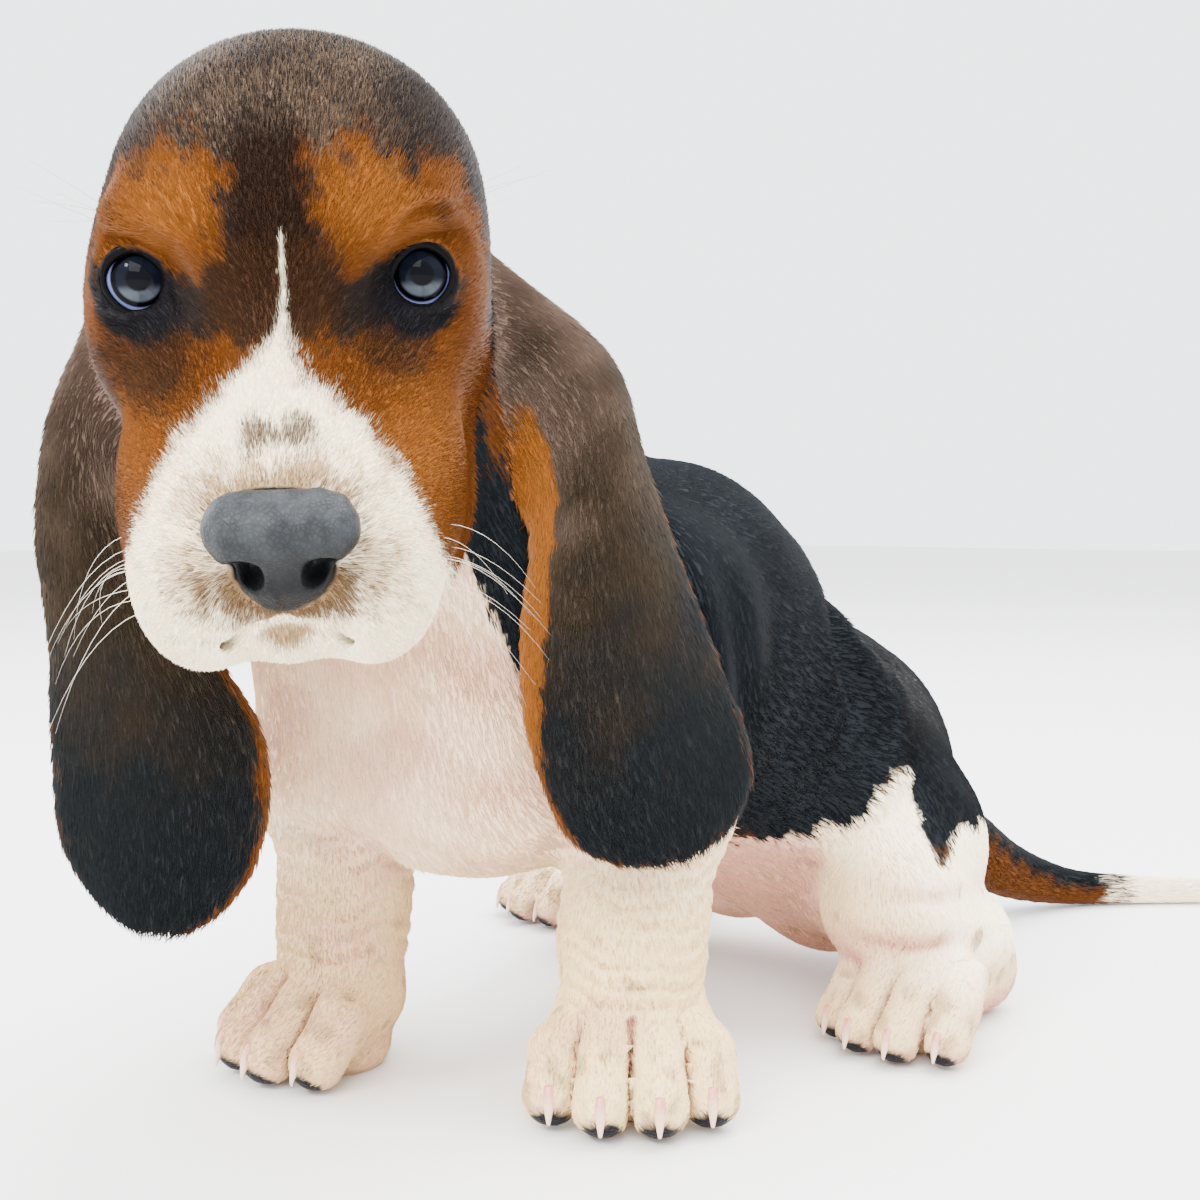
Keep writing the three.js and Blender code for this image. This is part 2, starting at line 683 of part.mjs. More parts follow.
function claw(frame, at, size) {
  const [c, s] = [Math.cos(CLAW.lean * DEGREE), Math.sin(CLAW.lean * DEGREE)];
  const put = ([x, y, z]) =>
    toWorld(frame, add(at, times([x, y * c + z * s, z * c - y * s], size)));
  const rows = CLAW.rows.map((t) => {
    const [y, z] = [CLAW.length * t * (1 - 0.12 * t), -CLAW.drop * t * t];
    const [wide, tall] = [CLAW.wide * (1 - 0.7 * t), CLAW.tall * (1 - 0.72 * t)];
    return Array.from({ length: CLAW.sides }, (_, j) => {
      const a = (j / CLAW.sides) * 360 * DEGREE;
      return put([wide * Math.cos(a), y, z + tall * Math.sin(a)]);
    });
  });
  return rings(rows, put([0, -1, 0]), put([0, 0.9 * CLAW.length, -0.95 * CLAW.drop]));
}

function pawClaws(frame, size) {
  return TOE_SIDES.map((side, i) => {
    const [out, ahead, up] = [side * 1.06, TOE_REACH[i] + 4.5, TIP_HEIGHT + 2];
    return claw(frame, times([out, ahead, up], size), size);
  });
}

// Putting it together.

// The cut behind the jaw and the cut at the foot of the neck: a point and the way to the head.
const THROAT_CUT = { at: toWorld(HEAD, [0, -16, -76]), way: unit([0, -0.7, 0.71]) };
const NECK_CUT = { at: [-8, -84, 142], way: unit([-0.29, -0.43, 0.86]) };
const TAIL_CUT = { at: [4, 146, 28.5], way: unit([0, 0.8, -0.6]) };

const largest = (solid) => solid.decompose().reduce((a, b) => (a.volume() > b.volume() ? a : b));
const beforeCut = ({ at, way }, off = 0) => beyond(at, way, GAP / 2 + off);
const behindCut = ({ at, way }, off = 0) => beyond(at, times(way, -1), GAP / 2 + off);

// The corners of the upright box round a box that is given in a frame.
function surroundings(frame, low, high) {
  const ends = [low, high];
  const corners = [0, 1, 2, 3, 4, 5, 6, 7].map((c) =>
    toWorld(frame, [ends[c & 1][0], ends[(c >> 1) & 1][1], ends[c >> 2][2]]),
  );
  const along = (axis) => corners.map((corner) => corner[axis]);
  return [Math.min, Math.max].map((pick) => [0, 1, 2].map((axis) => pick(...along(axis))));
}

const throatSide = (x, y, z) => dot(minus([x, y, z], THROAT_CUT.at), THROAT_CUT.way);
const headField = (x, y, z) => Math.max(flesh(x, y, z), -throatSide(x, y, z) - OVERLAP);
const bodyField = (x, y, z) => Math.max(flesh(x, y, z), throatSide(x, y, z) - OVERLAP);
const faceWeight = (p) => (dot(minus(p, HEAD.origin), HEAD.forward) > -22 ? 5 : 1.2);
const pawWeight = (p) => (p[2] < 28 && p[1] < 60 ? 4 : 1);

const [headLow, headHigh] = surroundings(HEAD, [-66, -104, -100], [66, 90, 58]);
const headMesh = thin(
  polygonise(headField, headLow, headHigh, HEAD_CELL),
  HEAD_TRIANGLES,
  faceWeight,
);
const bodyMesh = thin(
  polygonise(bodyField, [-160, -170, -10], [104, 262, 262], BODY_CELL),
  BODY_TRIANGLES,
  pawWeight,
);

const solids = new Map();
const keep = (name, solid) => solids.set(name, largest(solid));

const floor = beyond([0, 0, 0], [0, 0, 1], 0);
let headSolid = solidOf(headMesh).intersect(beforeCut(THROAT_CUT));
let rest = largest(solidOf(bodyMesh).intersect(floor)).intersect(behindCut(THROAT_CUT));

const EAR_ROOM = 1.3 * GAP;
for (const [name, lines] of Object.entries(EAR_LINES)) {
  const mesh = ear(lines);
  const room = solidOf(grown(mesh, EAR_ROOM)).add(solidOf(mesh));
  keep(name, solidOf(mesh));
  headSolid = headSolid.subtract(room);
  rest = rest.subtract(room);
}
for (const [name, side] of [["eye_left", 1], ["eye_right", -1]]) {
  const at = toWorld(HEAD, [EYE.at[0] * side, EYE.at[1], EYE.at[2]]);
  keep(name, ball(at, Array(3).fill(EYE.radius), HEAD, 3));
  headSolid = headSolid.subtract(ball(at, Array(3).fill(EYE.radius + GAP), HEAD, 3));
}
const nosePlug = (grow) => plug(NOSE, [0, -20, 0], NOSE_HALF.map((half) => half + grow), 40, grow);
keep("nose", headSolid.intersect(nosePlug(-GAP / 2)));
keep("head", headSolid.subtract(nosePlug(GAP / 2)));

keep("neck", rest.intersect(beforeCut(NECK_CUT)));
rest = rest.intersect(behindCut(NECK_CUT));
keep("tail", rest.intersect(beforeCut(TAIL_CUT)));
rest = rest.intersect(behindCut(TAIL_CUT));

// The paws end below the wrist and, on the hind legs, ahead of the heel and below the knee.
const WRIST_CUT = 30;
const KNEE_CUT = 26;
const under = (height, off) => beyond([0, 0, height], [0, 0, -1], off);

// Each leg is what lies inside a few balls round the shoulder or thigh and down the limb.
const LEGS = {
  foreleg_left: {
    paw: LEFT_FOREPAW,
    size: FORE_SIZE,
    within: [[[33, -46, 112], [27, 34, 44]], [[43, -62, 32], [40, 50, 66]]],
  },
  foreleg_right: {
    paw: RIGHT_FOREPAW,
    size: FORE_SIZE,
    within: [[[-47, -84, 110], [28, 34, 44]], [[-42, -98, 32], [40, 50, 66]]],
  },
  hindleg_left: {
    paw: LEFT_HINDPAW,
    size: HIND_SIZE,
    within: [[[52, 54, 44], [34, 46, 48]], [[60, 40, 12], [30, 56, 26]]],
  },
  hindleg_right: {
    paw: RIGHT_HINDPAW,
    size: HIND_SIZE,
    within: [[[-52, 58, 44], [36, 46, 48]], [[-96, 68, 14], [46, 60, 28]]],
  },
};
for (const [name, { paw, size, within }] of Object.entries(LEGS)) {
  const room = (grow) =>
    within.map(([at, r]) => ball(at, r.map((c) => c + grow), null, 3)).reduce((a, b) => a.add(b));
  let leg = largest(rest.intersect(room(-GAP / 2)));
  rest = rest.subtract(room(GAP / 2));
  const hind = name.startsWith("hind");
  pawClaws(paw, size).forEach((mesh, i) => {
    keep(`${name.replace("leg", "claw")}_${i + 1}`, solidOf(mesh));
    leg = leg.subtract(solidOf(grown(mesh, GAP)).add(solidOf(mesh)));
  });
  const pawRoom = (off) =>
    hind
      ? beyond(toWorld(paw, [0, -6, 12]), paw.forward, off).intersect(under(KNEE_CUT, off))
      : under(WRIST_CUT, off);
  keep(name, leg.subtract(pawRoom(-GAP / 2)));
  keep(name.replace("leg", "paw"), leg.intersect(pawRoom(GAP / 2)));
}
keep("torso", rest);

const COLOURS = [
  [/^eye/, "#7f93a8"], [/^nose/, "#59606b"], [/claw/, "#e8d3c8"], [/^head/, "#6b4a34"],
  [/^ear/, "#3b2a22"], [/^(torso|tail)/, "#26242a"], [/./, "#e6dccf"],
];
const box = [...solids.values()].map((s) => s.boundingBox());
const low = [0, 1, 2].map((axis) => Math.min(...box.map((b) => b.min[axis])));
const high = [0, 1, 2].map((axis) => Math.max(...box.map((b) => b.max[axis])));
const shift = [-(low[0] + high[0]) / 2, -(low[1] + high[1]) / 2, -low[2]];

function geometryOf(solid) {
  const { vertProperties, triVerts } = solid.getMesh();
  const geometry = new THREE.BufferGeometry();
  geometry.setAttribute("position", new THREE.BufferAttribute(new Float32Array(vertProperties), 3));
  geometry.setIndex([...triVerts]);
  return geometry.translate(...shift);
}

const dog = new THREE.Group();
dog.name = "basset_hound_puppy";
for (const [name, solid] of solids) {
  const color = COLOURS.find(([pattern]) => pattern.test(name))[1];
  const material = new THREE.MeshStandardMaterial({ color, roughness: 0.8 });
  const mesh = new THREE.Mesh(geometryOf(solid), material);
  mesh.name = name;
  dog.add(mesh);
}
export default dog;
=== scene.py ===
"""A basset hound puppy of about eight weeks, half sitting, dressed in skin, coat, eyes, nose and claws.

The shapes are worked out in millimetres in the maker's frame, which is the solids' frame before they were
centred over the floor. The rump lies towards +Y, the puppy's own left towards +X and the floor is z = 0.
"""

import logging
import math
from dataclasses import dataclass
from enum import Enum
from typing import Callable, Sequence

import bpy
import numpy as np
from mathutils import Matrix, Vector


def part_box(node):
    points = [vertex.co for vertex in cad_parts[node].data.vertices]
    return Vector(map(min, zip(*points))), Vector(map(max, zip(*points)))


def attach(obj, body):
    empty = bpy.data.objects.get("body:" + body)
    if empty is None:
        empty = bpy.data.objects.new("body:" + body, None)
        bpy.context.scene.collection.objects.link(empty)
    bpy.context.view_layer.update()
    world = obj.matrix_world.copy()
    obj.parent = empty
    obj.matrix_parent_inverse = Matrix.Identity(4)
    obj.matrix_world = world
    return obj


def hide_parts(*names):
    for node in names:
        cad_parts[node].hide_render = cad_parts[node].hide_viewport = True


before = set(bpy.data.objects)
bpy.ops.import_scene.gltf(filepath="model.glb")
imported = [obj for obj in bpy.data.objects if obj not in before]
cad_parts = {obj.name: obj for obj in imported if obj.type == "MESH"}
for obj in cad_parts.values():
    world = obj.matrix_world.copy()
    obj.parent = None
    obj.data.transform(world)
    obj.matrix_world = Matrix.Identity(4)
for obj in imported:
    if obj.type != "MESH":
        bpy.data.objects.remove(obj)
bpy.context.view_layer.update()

LOG = logging.getLogger("puppy")
MM = 0.001
SEED = 20461

Array = np.ndarray
Shape = Callable[[Array], Array]


# Frames.


@dataclass(frozen=True)
class Axes:
    """A frame of one piece of the animal: its origin and its directions left, forward and up."""

    origin: Array
    matrix: Array

    @staticmethod
    def turned(origin: Sequence[float], turn: float, pitch: float = 0.0, roll: float = 0.0) -> "Axes":
        """Makes a frame that looks along -Y, turned to its left, pitched down and rolled.

        Args:
            origin: where the frame stands, in millimetres.
            turn: angle to the left, in degrees.
            pitch: angle downwards, in degrees.
            roll: angle about its forward axis, in degrees.

        Returns:
            The frame.
        """
        t, p, r = np.radians([turn, pitch, roll])
        ahead = np.array([math.sin(t), -math.cos(t), 0.0])
        side = np.array([math.cos(t), math.sin(t), 0.0])
        rise = np.array([0.0, 0.0, 1.0])
        forward = ahead * math.cos(p) - rise * math.sin(p)
        level = ahead * math.sin(p) + rise * math.cos(p)
        left = side * math.cos(r) + level * math.sin(r)
        up = level * math.cos(r) - side * math.sin(r)
        return Axes(np.array(origin, float), np.stack([left, forward, up]))

    def place(self, points: Array | Sequence[float]) -> Array:
        """Takes points of this frame to the maker's frame."""
        return self.origin + np.asarray(points, float) @ self.matrix

    def read(self, points: Array) -> Array:
        """Takes points of the maker's frame to this frame."""
        return (points - self.origin.astype(points.dtype)) @ self.matrix.T.astype(points.dtype)

    def turn_out(self, directions: Array) -> Array:
        """Takes directions of this frame to the maker's frame."""
        return directions @ self.matrix


# Shapes as signed distances, negative inside.


def join(a: Array, b: Array, k: float) -> Array:
    """Joins two distances: the smaller of them, less a quarter of h squared times k where they are closer
    than k, with h their closeness from 0 to 1.

    Args:
        a: distances to the first shape.
        b: distances to the second shape.
        k: width of the fillet, in millimetres.

    Returns:
        Distances to the joined shape.
    """
    h = np.maximum(k - np.abs(a - b), 0) / k
    return np.minimum(a, b) - 0.25 * h * h * k


def blend(k: float, *shapes: Shape) -> Shape:
    """Joins shapes one after another.

    Args:
        k: width of the fillets, in millimetres.
        *shapes: the shapes.

    Returns:
        The joined shape.
    """

    def distance(p: Array) -> Array:
        """Distance to the joined shapes."""
        d = shapes[0](p)
        for shape in shapes[1:]:
            d = join(d, shape(p), k)
        return d

    return distance


def carve(k: float, body: Shape, tool: Shape) -> Shape:
    """Takes a tool's shape out of a body with an edge rounded by k."""
    return lambda p: -join(-body(p), tool(p), k)


def egg(centre: Sequence[float], half: Sequence[float], pitch: float = 0.0, turn: float = 0.0) -> Shape:
    """An ellipsoid: with q the point divided by the half sizes, the distance is about |q| (|q| - 1) over
    the length of q divided once more by the half sizes.

    Args:
        centre: its middle, in millimetres.
        half: its three half sizes.
        pitch: turn about X, in degrees.
        turn: turn about Z after that, in degrees.

    Returns:
        The shape.
    """
    a, b = math.radians(pitch), math.radians(turn)
    about_x = np.array([[1, 0, 0], [0, math.cos(a), -math.sin(a)], [0, math.sin(a), math.cos(a)]])
    about_z = np.array([[math.cos(b), -math.sin(b), 0], [math.sin(b), math.cos(b), 0], [0, 0, 1]])
    axes = about_z @ about_x

    def distance(p: Array) -> Array:
        """Distance to the ellipsoid."""
        kind = p.dtype
        q = ((p - np.array(centre, kind)) @ axes.astype(kind)) / np.array(half, kind)
        near = np.sqrt((q * q).sum(1))
        q /= np.array(half, kind)
        slope = np.sqrt((q * q).sum(1))
        return near * (near - 1) / np.maximum(slope, 1e-6)

    return distance


def bone(a: Sequence[float], ra: float, b: Sequence[float], rb: float) -> Shape:
    """A rounded rod: the distance to the nearest point of the line between its ends, less a radius that
    runs evenly from one end to the other.

    Args:
        a: its first end, in millimetres.
        ra: its radius there.
        b: its other end.
        rb: its radius there.

    Returns:
        The shape.
    """

    def distance(p: Array) -> Array:
        """Distance to the rod."""
        kind = p.dtype
        run = np.array(b, kind) - np.array(a, kind)
        d = p - np.array(a, kind)
        t = np.clip(d @ run / (run @ run), 0, 1)
        d -= t[:, None] * run
        return np.sqrt((d * d).sum(1)) - (ra + (rb - ra) * t)

    return distance


def limb(k: float, *joints: tuple) -> Shape:
    """Rods end to end through pairs of a point and a radius."""
    return blend(k, *[bone(a, ra, b, rb) for (a, ra), (b, rb) in zip(joints, joints[1:])])


def both_sides(shape: Shape) -> Shape:
    """A shape and its mirror image across x = 0.

    Args:
        shape: the shape on the left side.

    Returns:
        Both.
    """

    def distance(p: Array) -> Array:
        """Distance to the nearer one."""
        q = p.copy()
        q[:, 0] = np.abs(q[:, 0])
        return shape(q)

    return distance


def within(centre: Sequence[float], reach: float, shape: Shape) -> Shape:
    """A shape that is only worked out near a ball round it. More than 30 mm outside the ball the distance
    to the ball will do.

    Args:
        centre: the ball's middle, in millimetres.
        reach: its radius.
        shape: the shape inside it.

    Returns:
        The shape with its ball.
    """

    def distance(p: Array) -> Array:
        """Distance to the shape or its ball."""
        far = np.linalg.norm(p - np.array(centre, p.dtype), axis=1) - reach
        near = far <= 30
        far[near] = shape(p[near])
        return far

    return distance


def placed(axes: Axes, reach: float, shape: Shape) -> Shape:
    """A shape of a frame, read in the maker's frame. More than 40 mm outside its reach the distance to
    its reach will do.

    Args:
        axes: the frame.
        reach: how far the shape reaches from the frame's origin, in millimetres.
        shape: the shape in the frame.

    Returns:
        The shape in the maker's frame.
    """

    def distance(p: Array) -> Array:
        """Distance to the placed shape."""
        q = axes.read(p)
        far = np.sqrt((q * q).sum(1)) - reach
        near = far <= 40
        far[near] = shape(q[near])
        return far

    return distance


def spline(knots: Array, at: Array) -> Array:
    """A smooth curve through knots, centripetal as the solids' curves are.

    Each span is the cubic through its two knots whose slopes come from the neighbours, with the spans
    measured by the square root of their lengths.

    Args:
        knots: (n, c) points.
        at: places along the curve from 0 to 1.

    Returns:
        (len(at), c) points of the curve.
    """
    n = len(knots)
    ends = np.vstack([2 * knots[0] - knots[1], knots, 2 * knots[-1] - knots[-2]])
    x = np.clip(at, 0, 1) * (n - 1)
    i = np.minimum(x.astype(int), n - 2)
    w = (x - i)[:, None]
    p0, p1, p2, p3 = (ends[i + j] for j in range(4))
    d0, d1, d2 = (np.maximum(np.sqrt(np.linalg.norm(b - a, axis=1)), 1e-4)[:, None]
                  for a, b in ((p0, p1), (p1, p2), (p2, p3)))
    t1 = ((p1 - p0) / d0 - (p2 - p0) / (d0 + d1) + (p2 - p1) / d1) * d1
    t2 = ((p2 - p1) / d1 - (p3 - p1) / (d1 + d2) + (p3 - p2) / d2) * d1
    return p1 + t1 * w + (3 * (p2 - p1) - 2 * t1 - t2) * w**2 + (2 * (p1 - p2) + t1 + t2) * w**3


def unit(v: Array) -> Array:
    """Vectors made one long."""
    return v / np.maximum(np.linalg.norm(v, axis=-1, keepdims=True), 1e-9)


def batches(count: int, size: int = 20000) -> list[slice]:
    """Slices that take a long array in parts small enough for the memory."""
    return [slice(start, start + size) for start in range(0, count, size)]


def smooth(low: float, high: float, x: Array) -> Array:
    """A soft step from 0 at low to 1 at high, 3 t squared less 2 t cubed. With low above high it falls."""
    t = np.clip((x - low) / (high - low), 0, 1)
    return t * t * (3 - 2 * t)


def slope_of(shape: Shape, p: Array, step: float = 0.35) -> Array:
    """The gradient of a distance, from its values at the four corners of a small tetrahedron.

    Args:
        shape: the shape.
        p: (n, 3) points.
        step: half size of the tetrahedron, in millimetres.

    Returns:
        (n, 3) gradients.
    """
    corners = np.array([[1, -1, -1], [-1, -1, 1], [-1, 1, -1], [1, 1, 1]], p.dtype)
    total = np.zeros_like(p)
    for corner in corners:
        total += shape(p + corner * p.dtype.type(step))[:, None] * corner
    return total / (4 * step)


# The flesh, from the same eggs and rods as the solids.

HEAD = Axes.turned((11, -144.7, 196.5), 53.5, 29, 2.4)


def box_of(node: str) -> tuple[Array, Array]:
    """The lowest and highest corner of a solid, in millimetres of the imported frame."""
    low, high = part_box(node)
    return np.array(low) / MM, np.array(high) / MM


@dataclass(frozen=True)
class NoseForm:
    """The leather of the nose, in the head's frame: a broad pad with two wings over slit nostrils, and a
    narrower part below them with a groove."""

    shift: float = 1.2
    wing: tuple = (8.0, 68.5, -23.5)

    def read(self, q: Array) -> Array:
        """Points of the head's frame moved so that the nose is centred."""
        return q - np.array([self.shift, 0, 0], q.dtype)

    def leather(self) -> Shape:
        """The pad without its holes."""
        lower = blend(3, egg((0, 69.2, -33), (9.0, 7.6, 6.0)), egg((0, 67.5, -36.5), (6.0, 6.6, 4.3)))
        pad = blend(3, egg((0, 69, -24.0), (11.5, 8, 8)), both_sides(egg(self.wing, (6.8, 7.6, 6.9))), lower)
        return lambda q: pad(self.read(q))

    def holes(self) -> Shape:
        """Nostrils, the slits that run out of them, and the grooves."""
        slit = limb(1, ((8.5, 78, -29.2), 1.5), ((12, 75.5, -29.8), 1.0), ((14.8, 70.5, -28.6), 0.6))
        round_part = egg((7.4, 76.5, -29.6), (3.7, 8, 3.1))
        nostril = blend(1.2, round_part, egg((6.0, 76, -31.2), (2.5, 8, 2.4)), slit)
        groove = limb(0.5, ((0, 79.2, -27.5), 0.2), ((0, 78.2, -32), 0.5), ((0, 73.4, -40.5), 0.8))
        both = both_sides(nostril)
        return lambda q: np.minimum(both(self.read(q)), groove(self.read(q)))

    def shape(self) -> Shape:
        """The finished nose."""
        pad, holes = self.leather(), self.holes()

        def distance(q: Array) -> Array:
            """Distance to the nose, with fine cobbles over its leather."""
            wave = lumps(q, 1.5, 31) * 0.035 + lumps(q, 6, 32) * 0.12
            top = 0.08 * np.exp(-((q[:, 0] - self.shift) / 2.2) ** 2) * smooth(-20, -17, q[:, 2])
            return -join(-(pad(q) + wave + top), holes(q), 0.9)

        return distance


@dataclass(frozen=True)
class HeadForm:
    """The head in its own frame, which starts midway between the eyes: x left, y out along the muzzle,
    z up. Lengths are millimetres and angles degrees."""

    eye: tuple = (30, -5.5, -2)
    lid_radius: float = 10.4
    eye_outward: float = 8
    eye_raised: float = 19
    nose: NoseForm = NoseForm()

    def eye_front(self, reach: float) -> Array:
        """The point in front of the left eye.

        Args:
            reach: how far it is from the eye's middle, in millimetres.

        Returns:
            The point in the head's frame.
        """
        a, b = math.radians(self.eye_outward), math.radians(self.eye_raised)
        way = np.array([math.sin(a) * math.cos(b), math.cos(a) * math.cos(b), math.sin(b)])
        return np.array(self.eye) + reach * way

    def skull(self) -> Shape:
        """Brain case, temples, crest and cheeks."""
        return blend(14, egg((4, -34, 4), (43, 46, 39.5)), egg((1, -16, 7), (33, 26, 29)),
                     egg((2, -66, 4), (20, 18, 18)), both_sides(egg((28, -20, -18), (17.5, 26, 25))))

    def muzzle(self) -> Shape:
        """Bridge of the nose and the flesh of the upper jaw."""
        return blend(10, bone((0, 4, -14), 14, (0, 60, -27), 11),
                     both_sides(egg((14, 36, -38), (17, 34, 20))),
                     egg((20, 12, -37), (19, 26, 26)), egg((-18, 12, -37), (18, 26, 26)))

    def lips(self) -> Shape:
        """The hanging lips on both sides and the lip under the nose."""
        flews = blend(6, egg((17, 43, -50), (15, 21, 18)), egg((23.5, 20, -49), (12.5, 24, 20)))
        return blend(6, both_sides(flews), egg((0, 50, -39), (13, 18, 12)))

    def jaw(self) -> Shape:
        """Chin and lower jaw."""
        return blend(8, egg((0, 43, -57), (14, 17, 9.5)), bone((0, 34, -52), 15, (0, -16, -47), 23))

    def mouth(self) -> Shape:
        """The line of the mouth, from the middle under the hanging lips to both sides."""
        return both_sides(limb(1, ((0, 66, -46.5), 1.7), ((11, 62, -52.5), 1.9), ((27, 39, -63), 1.7)))

    def lid_opening(self) -> Shape:
        """The opening between the lids of each eye."""
        return both_sides(egg(self.eye_front(13), (7.8, 12, 7.2), self.eye_raised, -self.eye_outward))

    def bare(self) -> Shape:
        """The head without the lids' openings, nostrils and lines of the mouth."""
        face = blend(9, blend(12, self.skull(), self.muzzle()), blend(6, self.lips(), self.jaw()))
        brow = both_sides(egg((22, -5, 13), (14, 10, 8)))
        hollow = both_sides(egg(self.eye_front(12), (12, 7, 9), self.eye_raised, -self.eye_outward))
        browed = carve(8, blend(7, face, brow), hollow)
        lids = both_sides(egg(self.eye, (self.lid_radius,) * 3))
        return blend(3, blend(3, browed, lids), self.nose.leather())

    def shape(self) -> Shape:
        """The whole head."""
        philtrum = bone((self.nose.shift, 74, -38), 0.7, (0, 67, -48), 0.9)
        body = self.bare()
        for tool in (self.lid_opening(), self.nose.holes(), philtrum, self.mouth()):
            body = carve(1.2, body, tool)
        return body


@dataclass(frozen=True)
class TrunkForm:
    """Chest, barrel, loin, rump and neck."""

    def trunk(self) -> Shape:
        """Ribs, belly, loin and rump."""
        return blend(22, egg((-4, -56, 109), (44, 44, 56), 0, 20), egg((1, -15, 104), (47, 50, 58), -10, 8),
                     egg((3, 36, 73), (47, 44, 46), -25), egg((2, 72, 55), (36, 38, 49), -12))

    def neck(self) -> Shape:
        """Throat and nape, which bends to the side the head looks to."""
        return blend(20, bone((-6, -78, 128), 40, (-26, -108, 192), 35),
                     bone((-8, -56, 142), 32, (-34, -96, 208), 27))

    def shape(self) -> Shape:
        """All of it in one."""
        chest = egg((-2, -84, 92), (38, 26, 38), 0, 25)
        return blend(14, blend(18, self.trunk(), chest), self.neck())


@dataclass(frozen=True)
class PawForm:
    """A paw in a frame on the floor under the wrist or hock, looking the way the toes point."""

    axes: Axes
    size: float
    sides: tuple = (-18, -6.4, 6.4, 18)
    reach: tuple = (20, 27, 27, 20)
    knuckle_height: float = 16
    tip_height: float = 8

    def toe(self, i: int) -> Shape:
        """A toe from its root over the knuckle to the tip.

        Args:
            i: which toe, from 0 on the right to 3 on the left.

        Returns:
            Its shape in the paw's frame.
        """
        s, side, reach = self.size, self.sides[i] * self.size, self.reach[i] * self.size
        return limb(3, ((side * 0.55, 0, 19 * s), 10 * s),
                    ((side * 0.95, reach * 0.62, self.knuckle_height * s), 7.6 * s),
                    ((side * 1.04, reach, self.tip_height * s), 7.6 * s))

    def shape(self) -> Shape:
        """Four toes and the pad behind them."""
        s = self.size
        toes = blend(1.6, *[self.toe(i) for i in range(4)])
        return placed(self.axes, 40, blend(5, toes, egg((0, 4 * s, 5 * s), (17 * s, 15 * s, 9 * s))))


@dataclass(frozen=True)
class LegForm:
    """A leg: its paw and the rods and eggs that carry it."""

    name: str
    paw: PawForm
    bones: tuple[Shape, ...]
    middle: tuple
    reach: float

    def shape(self) -> Shape:
        """The leg with its paw."""
        return within(self.middle, self.reach, blend(6, *self.bones, self.paw.shape()))


LEGS = (
    LegForm("foreleg_left", PawForm(Axes.turned((36, -60, 0), 43), 1.0), (
        limb(10, ((25, -42, 118), 28), ((33, -50, 78), 22), ((36, -60, 42), 17.5), ((37, -62, 20), 17)),),
        (35, -58, 70), 85),
    LegForm("foreleg_right", PawForm(Axes.turned((-40, -92, 0), -4), 1.0), (
        limb(10, ((-38, -84, 112), 34), ((-42, -88, 78), 24.5), ((-40, -92, 42), 16.5),
             ((-40, -94, 20), 17)),),
        (-40, -92, 70), 85),
    LegForm("hindleg_left", PawForm(Axes.turned((62, 31, 0), 2), 0.9), (
        blend(14, egg((29, 54, 50), (25, 32, 36), 20), bone((38, 50, 48), 27, (51, 26, 38), 18)),
        limb(6, ((52, 28, 34), 17), ((55, 60, 22), 13), ((56, 63, 13), 12)),
        bone((56, 63, 12), 12, (62, 28, 12), 12)), (48, 42, 42), 66),
    LegForm("hindleg_right", PawForm(Axes.turned((-106, 62, 0), -24), 0.9), (
        blend(14, egg((-30, 64, 50), (28, 36, 38), 20), bone((-42, 60, 46), 27, (-68, 36, 38), 18)),
        limb(6, ((-70, 38, 34), 17), ((-84, 90, 22), 13), ((-86, 96, 13), 12)),
        bone((-86, 96, 12), 12, (-104, 60, 12), 12)), (-66, 62, 40), 76),
)


def clefts(p: Array, wide: float = 2.6) -> Array:
    """Where two toes meet, from 0 to 1.

    Args:
        p: points in the maker's frame.
        wide: how unequal the distances to two toes may be at the edge of a cleft, in millimetres.

    Returns:
        A mask from 0 to 1.
    """
    total = np.zeros(len(p), p.dtype)
    low = np.flatnonzero(p[:, 2] < 26)
    for leg in LEGS:
        q = leg.paw.axes.read(p[low])
        near = np.sort(np.stack([leg.paw.toe(i)(q) for i in range(4)]), 0)
        here = smooth(wide, 0.2, near[1] - near[0]) * smooth(5, 2, near[0]) * smooth(10, 19, q[:, 1])
        total[low] = np.maximum(total[low], here)
    return total


@dataclass(frozen=True)
class TailForm:
    """The tail, a rod that bends smoothly through pairs of a point and a radius."""

    joints: tuple = (((3, 104, 52), 15), ((4, 124, 41), 13), ((4, 144, 29.5), 12.2), ((5, 164, 18.5), 11),
                     ((9, 182, 11.5), 9), ((15, 198, 7.2), 7.2), ((26, 213, 5.8), 6), ((44, 233, 5), 5.2),
                     ((58, 243, 5.4), 3.2))
    pieces: int = 20

    def line(self, at: Array) -> tuple[Array, Array]:
        """The tail's middle line.

        Args:
            at: places from 0 at the root to 1 at the tip.

        Returns:
            Points and radii there.
        """
        points = spline(np.array([p for p, _ in self.joints], float), at)
        radii = spline(np.array([[i, r] for i, (_, r) in enumerate(self.joints)], float), at)
        return points, radii[:, 1]

    def shape(self) -> Shape:
        """The rods along it."""
        points, radii = self.line(np.linspace(0, 1, self.pieces + 1))
        rods = limb(0.5, *[(tuple(p), float(r)) for p, r in zip(points, radii)])
        return within(points.mean(0), 110, rods)


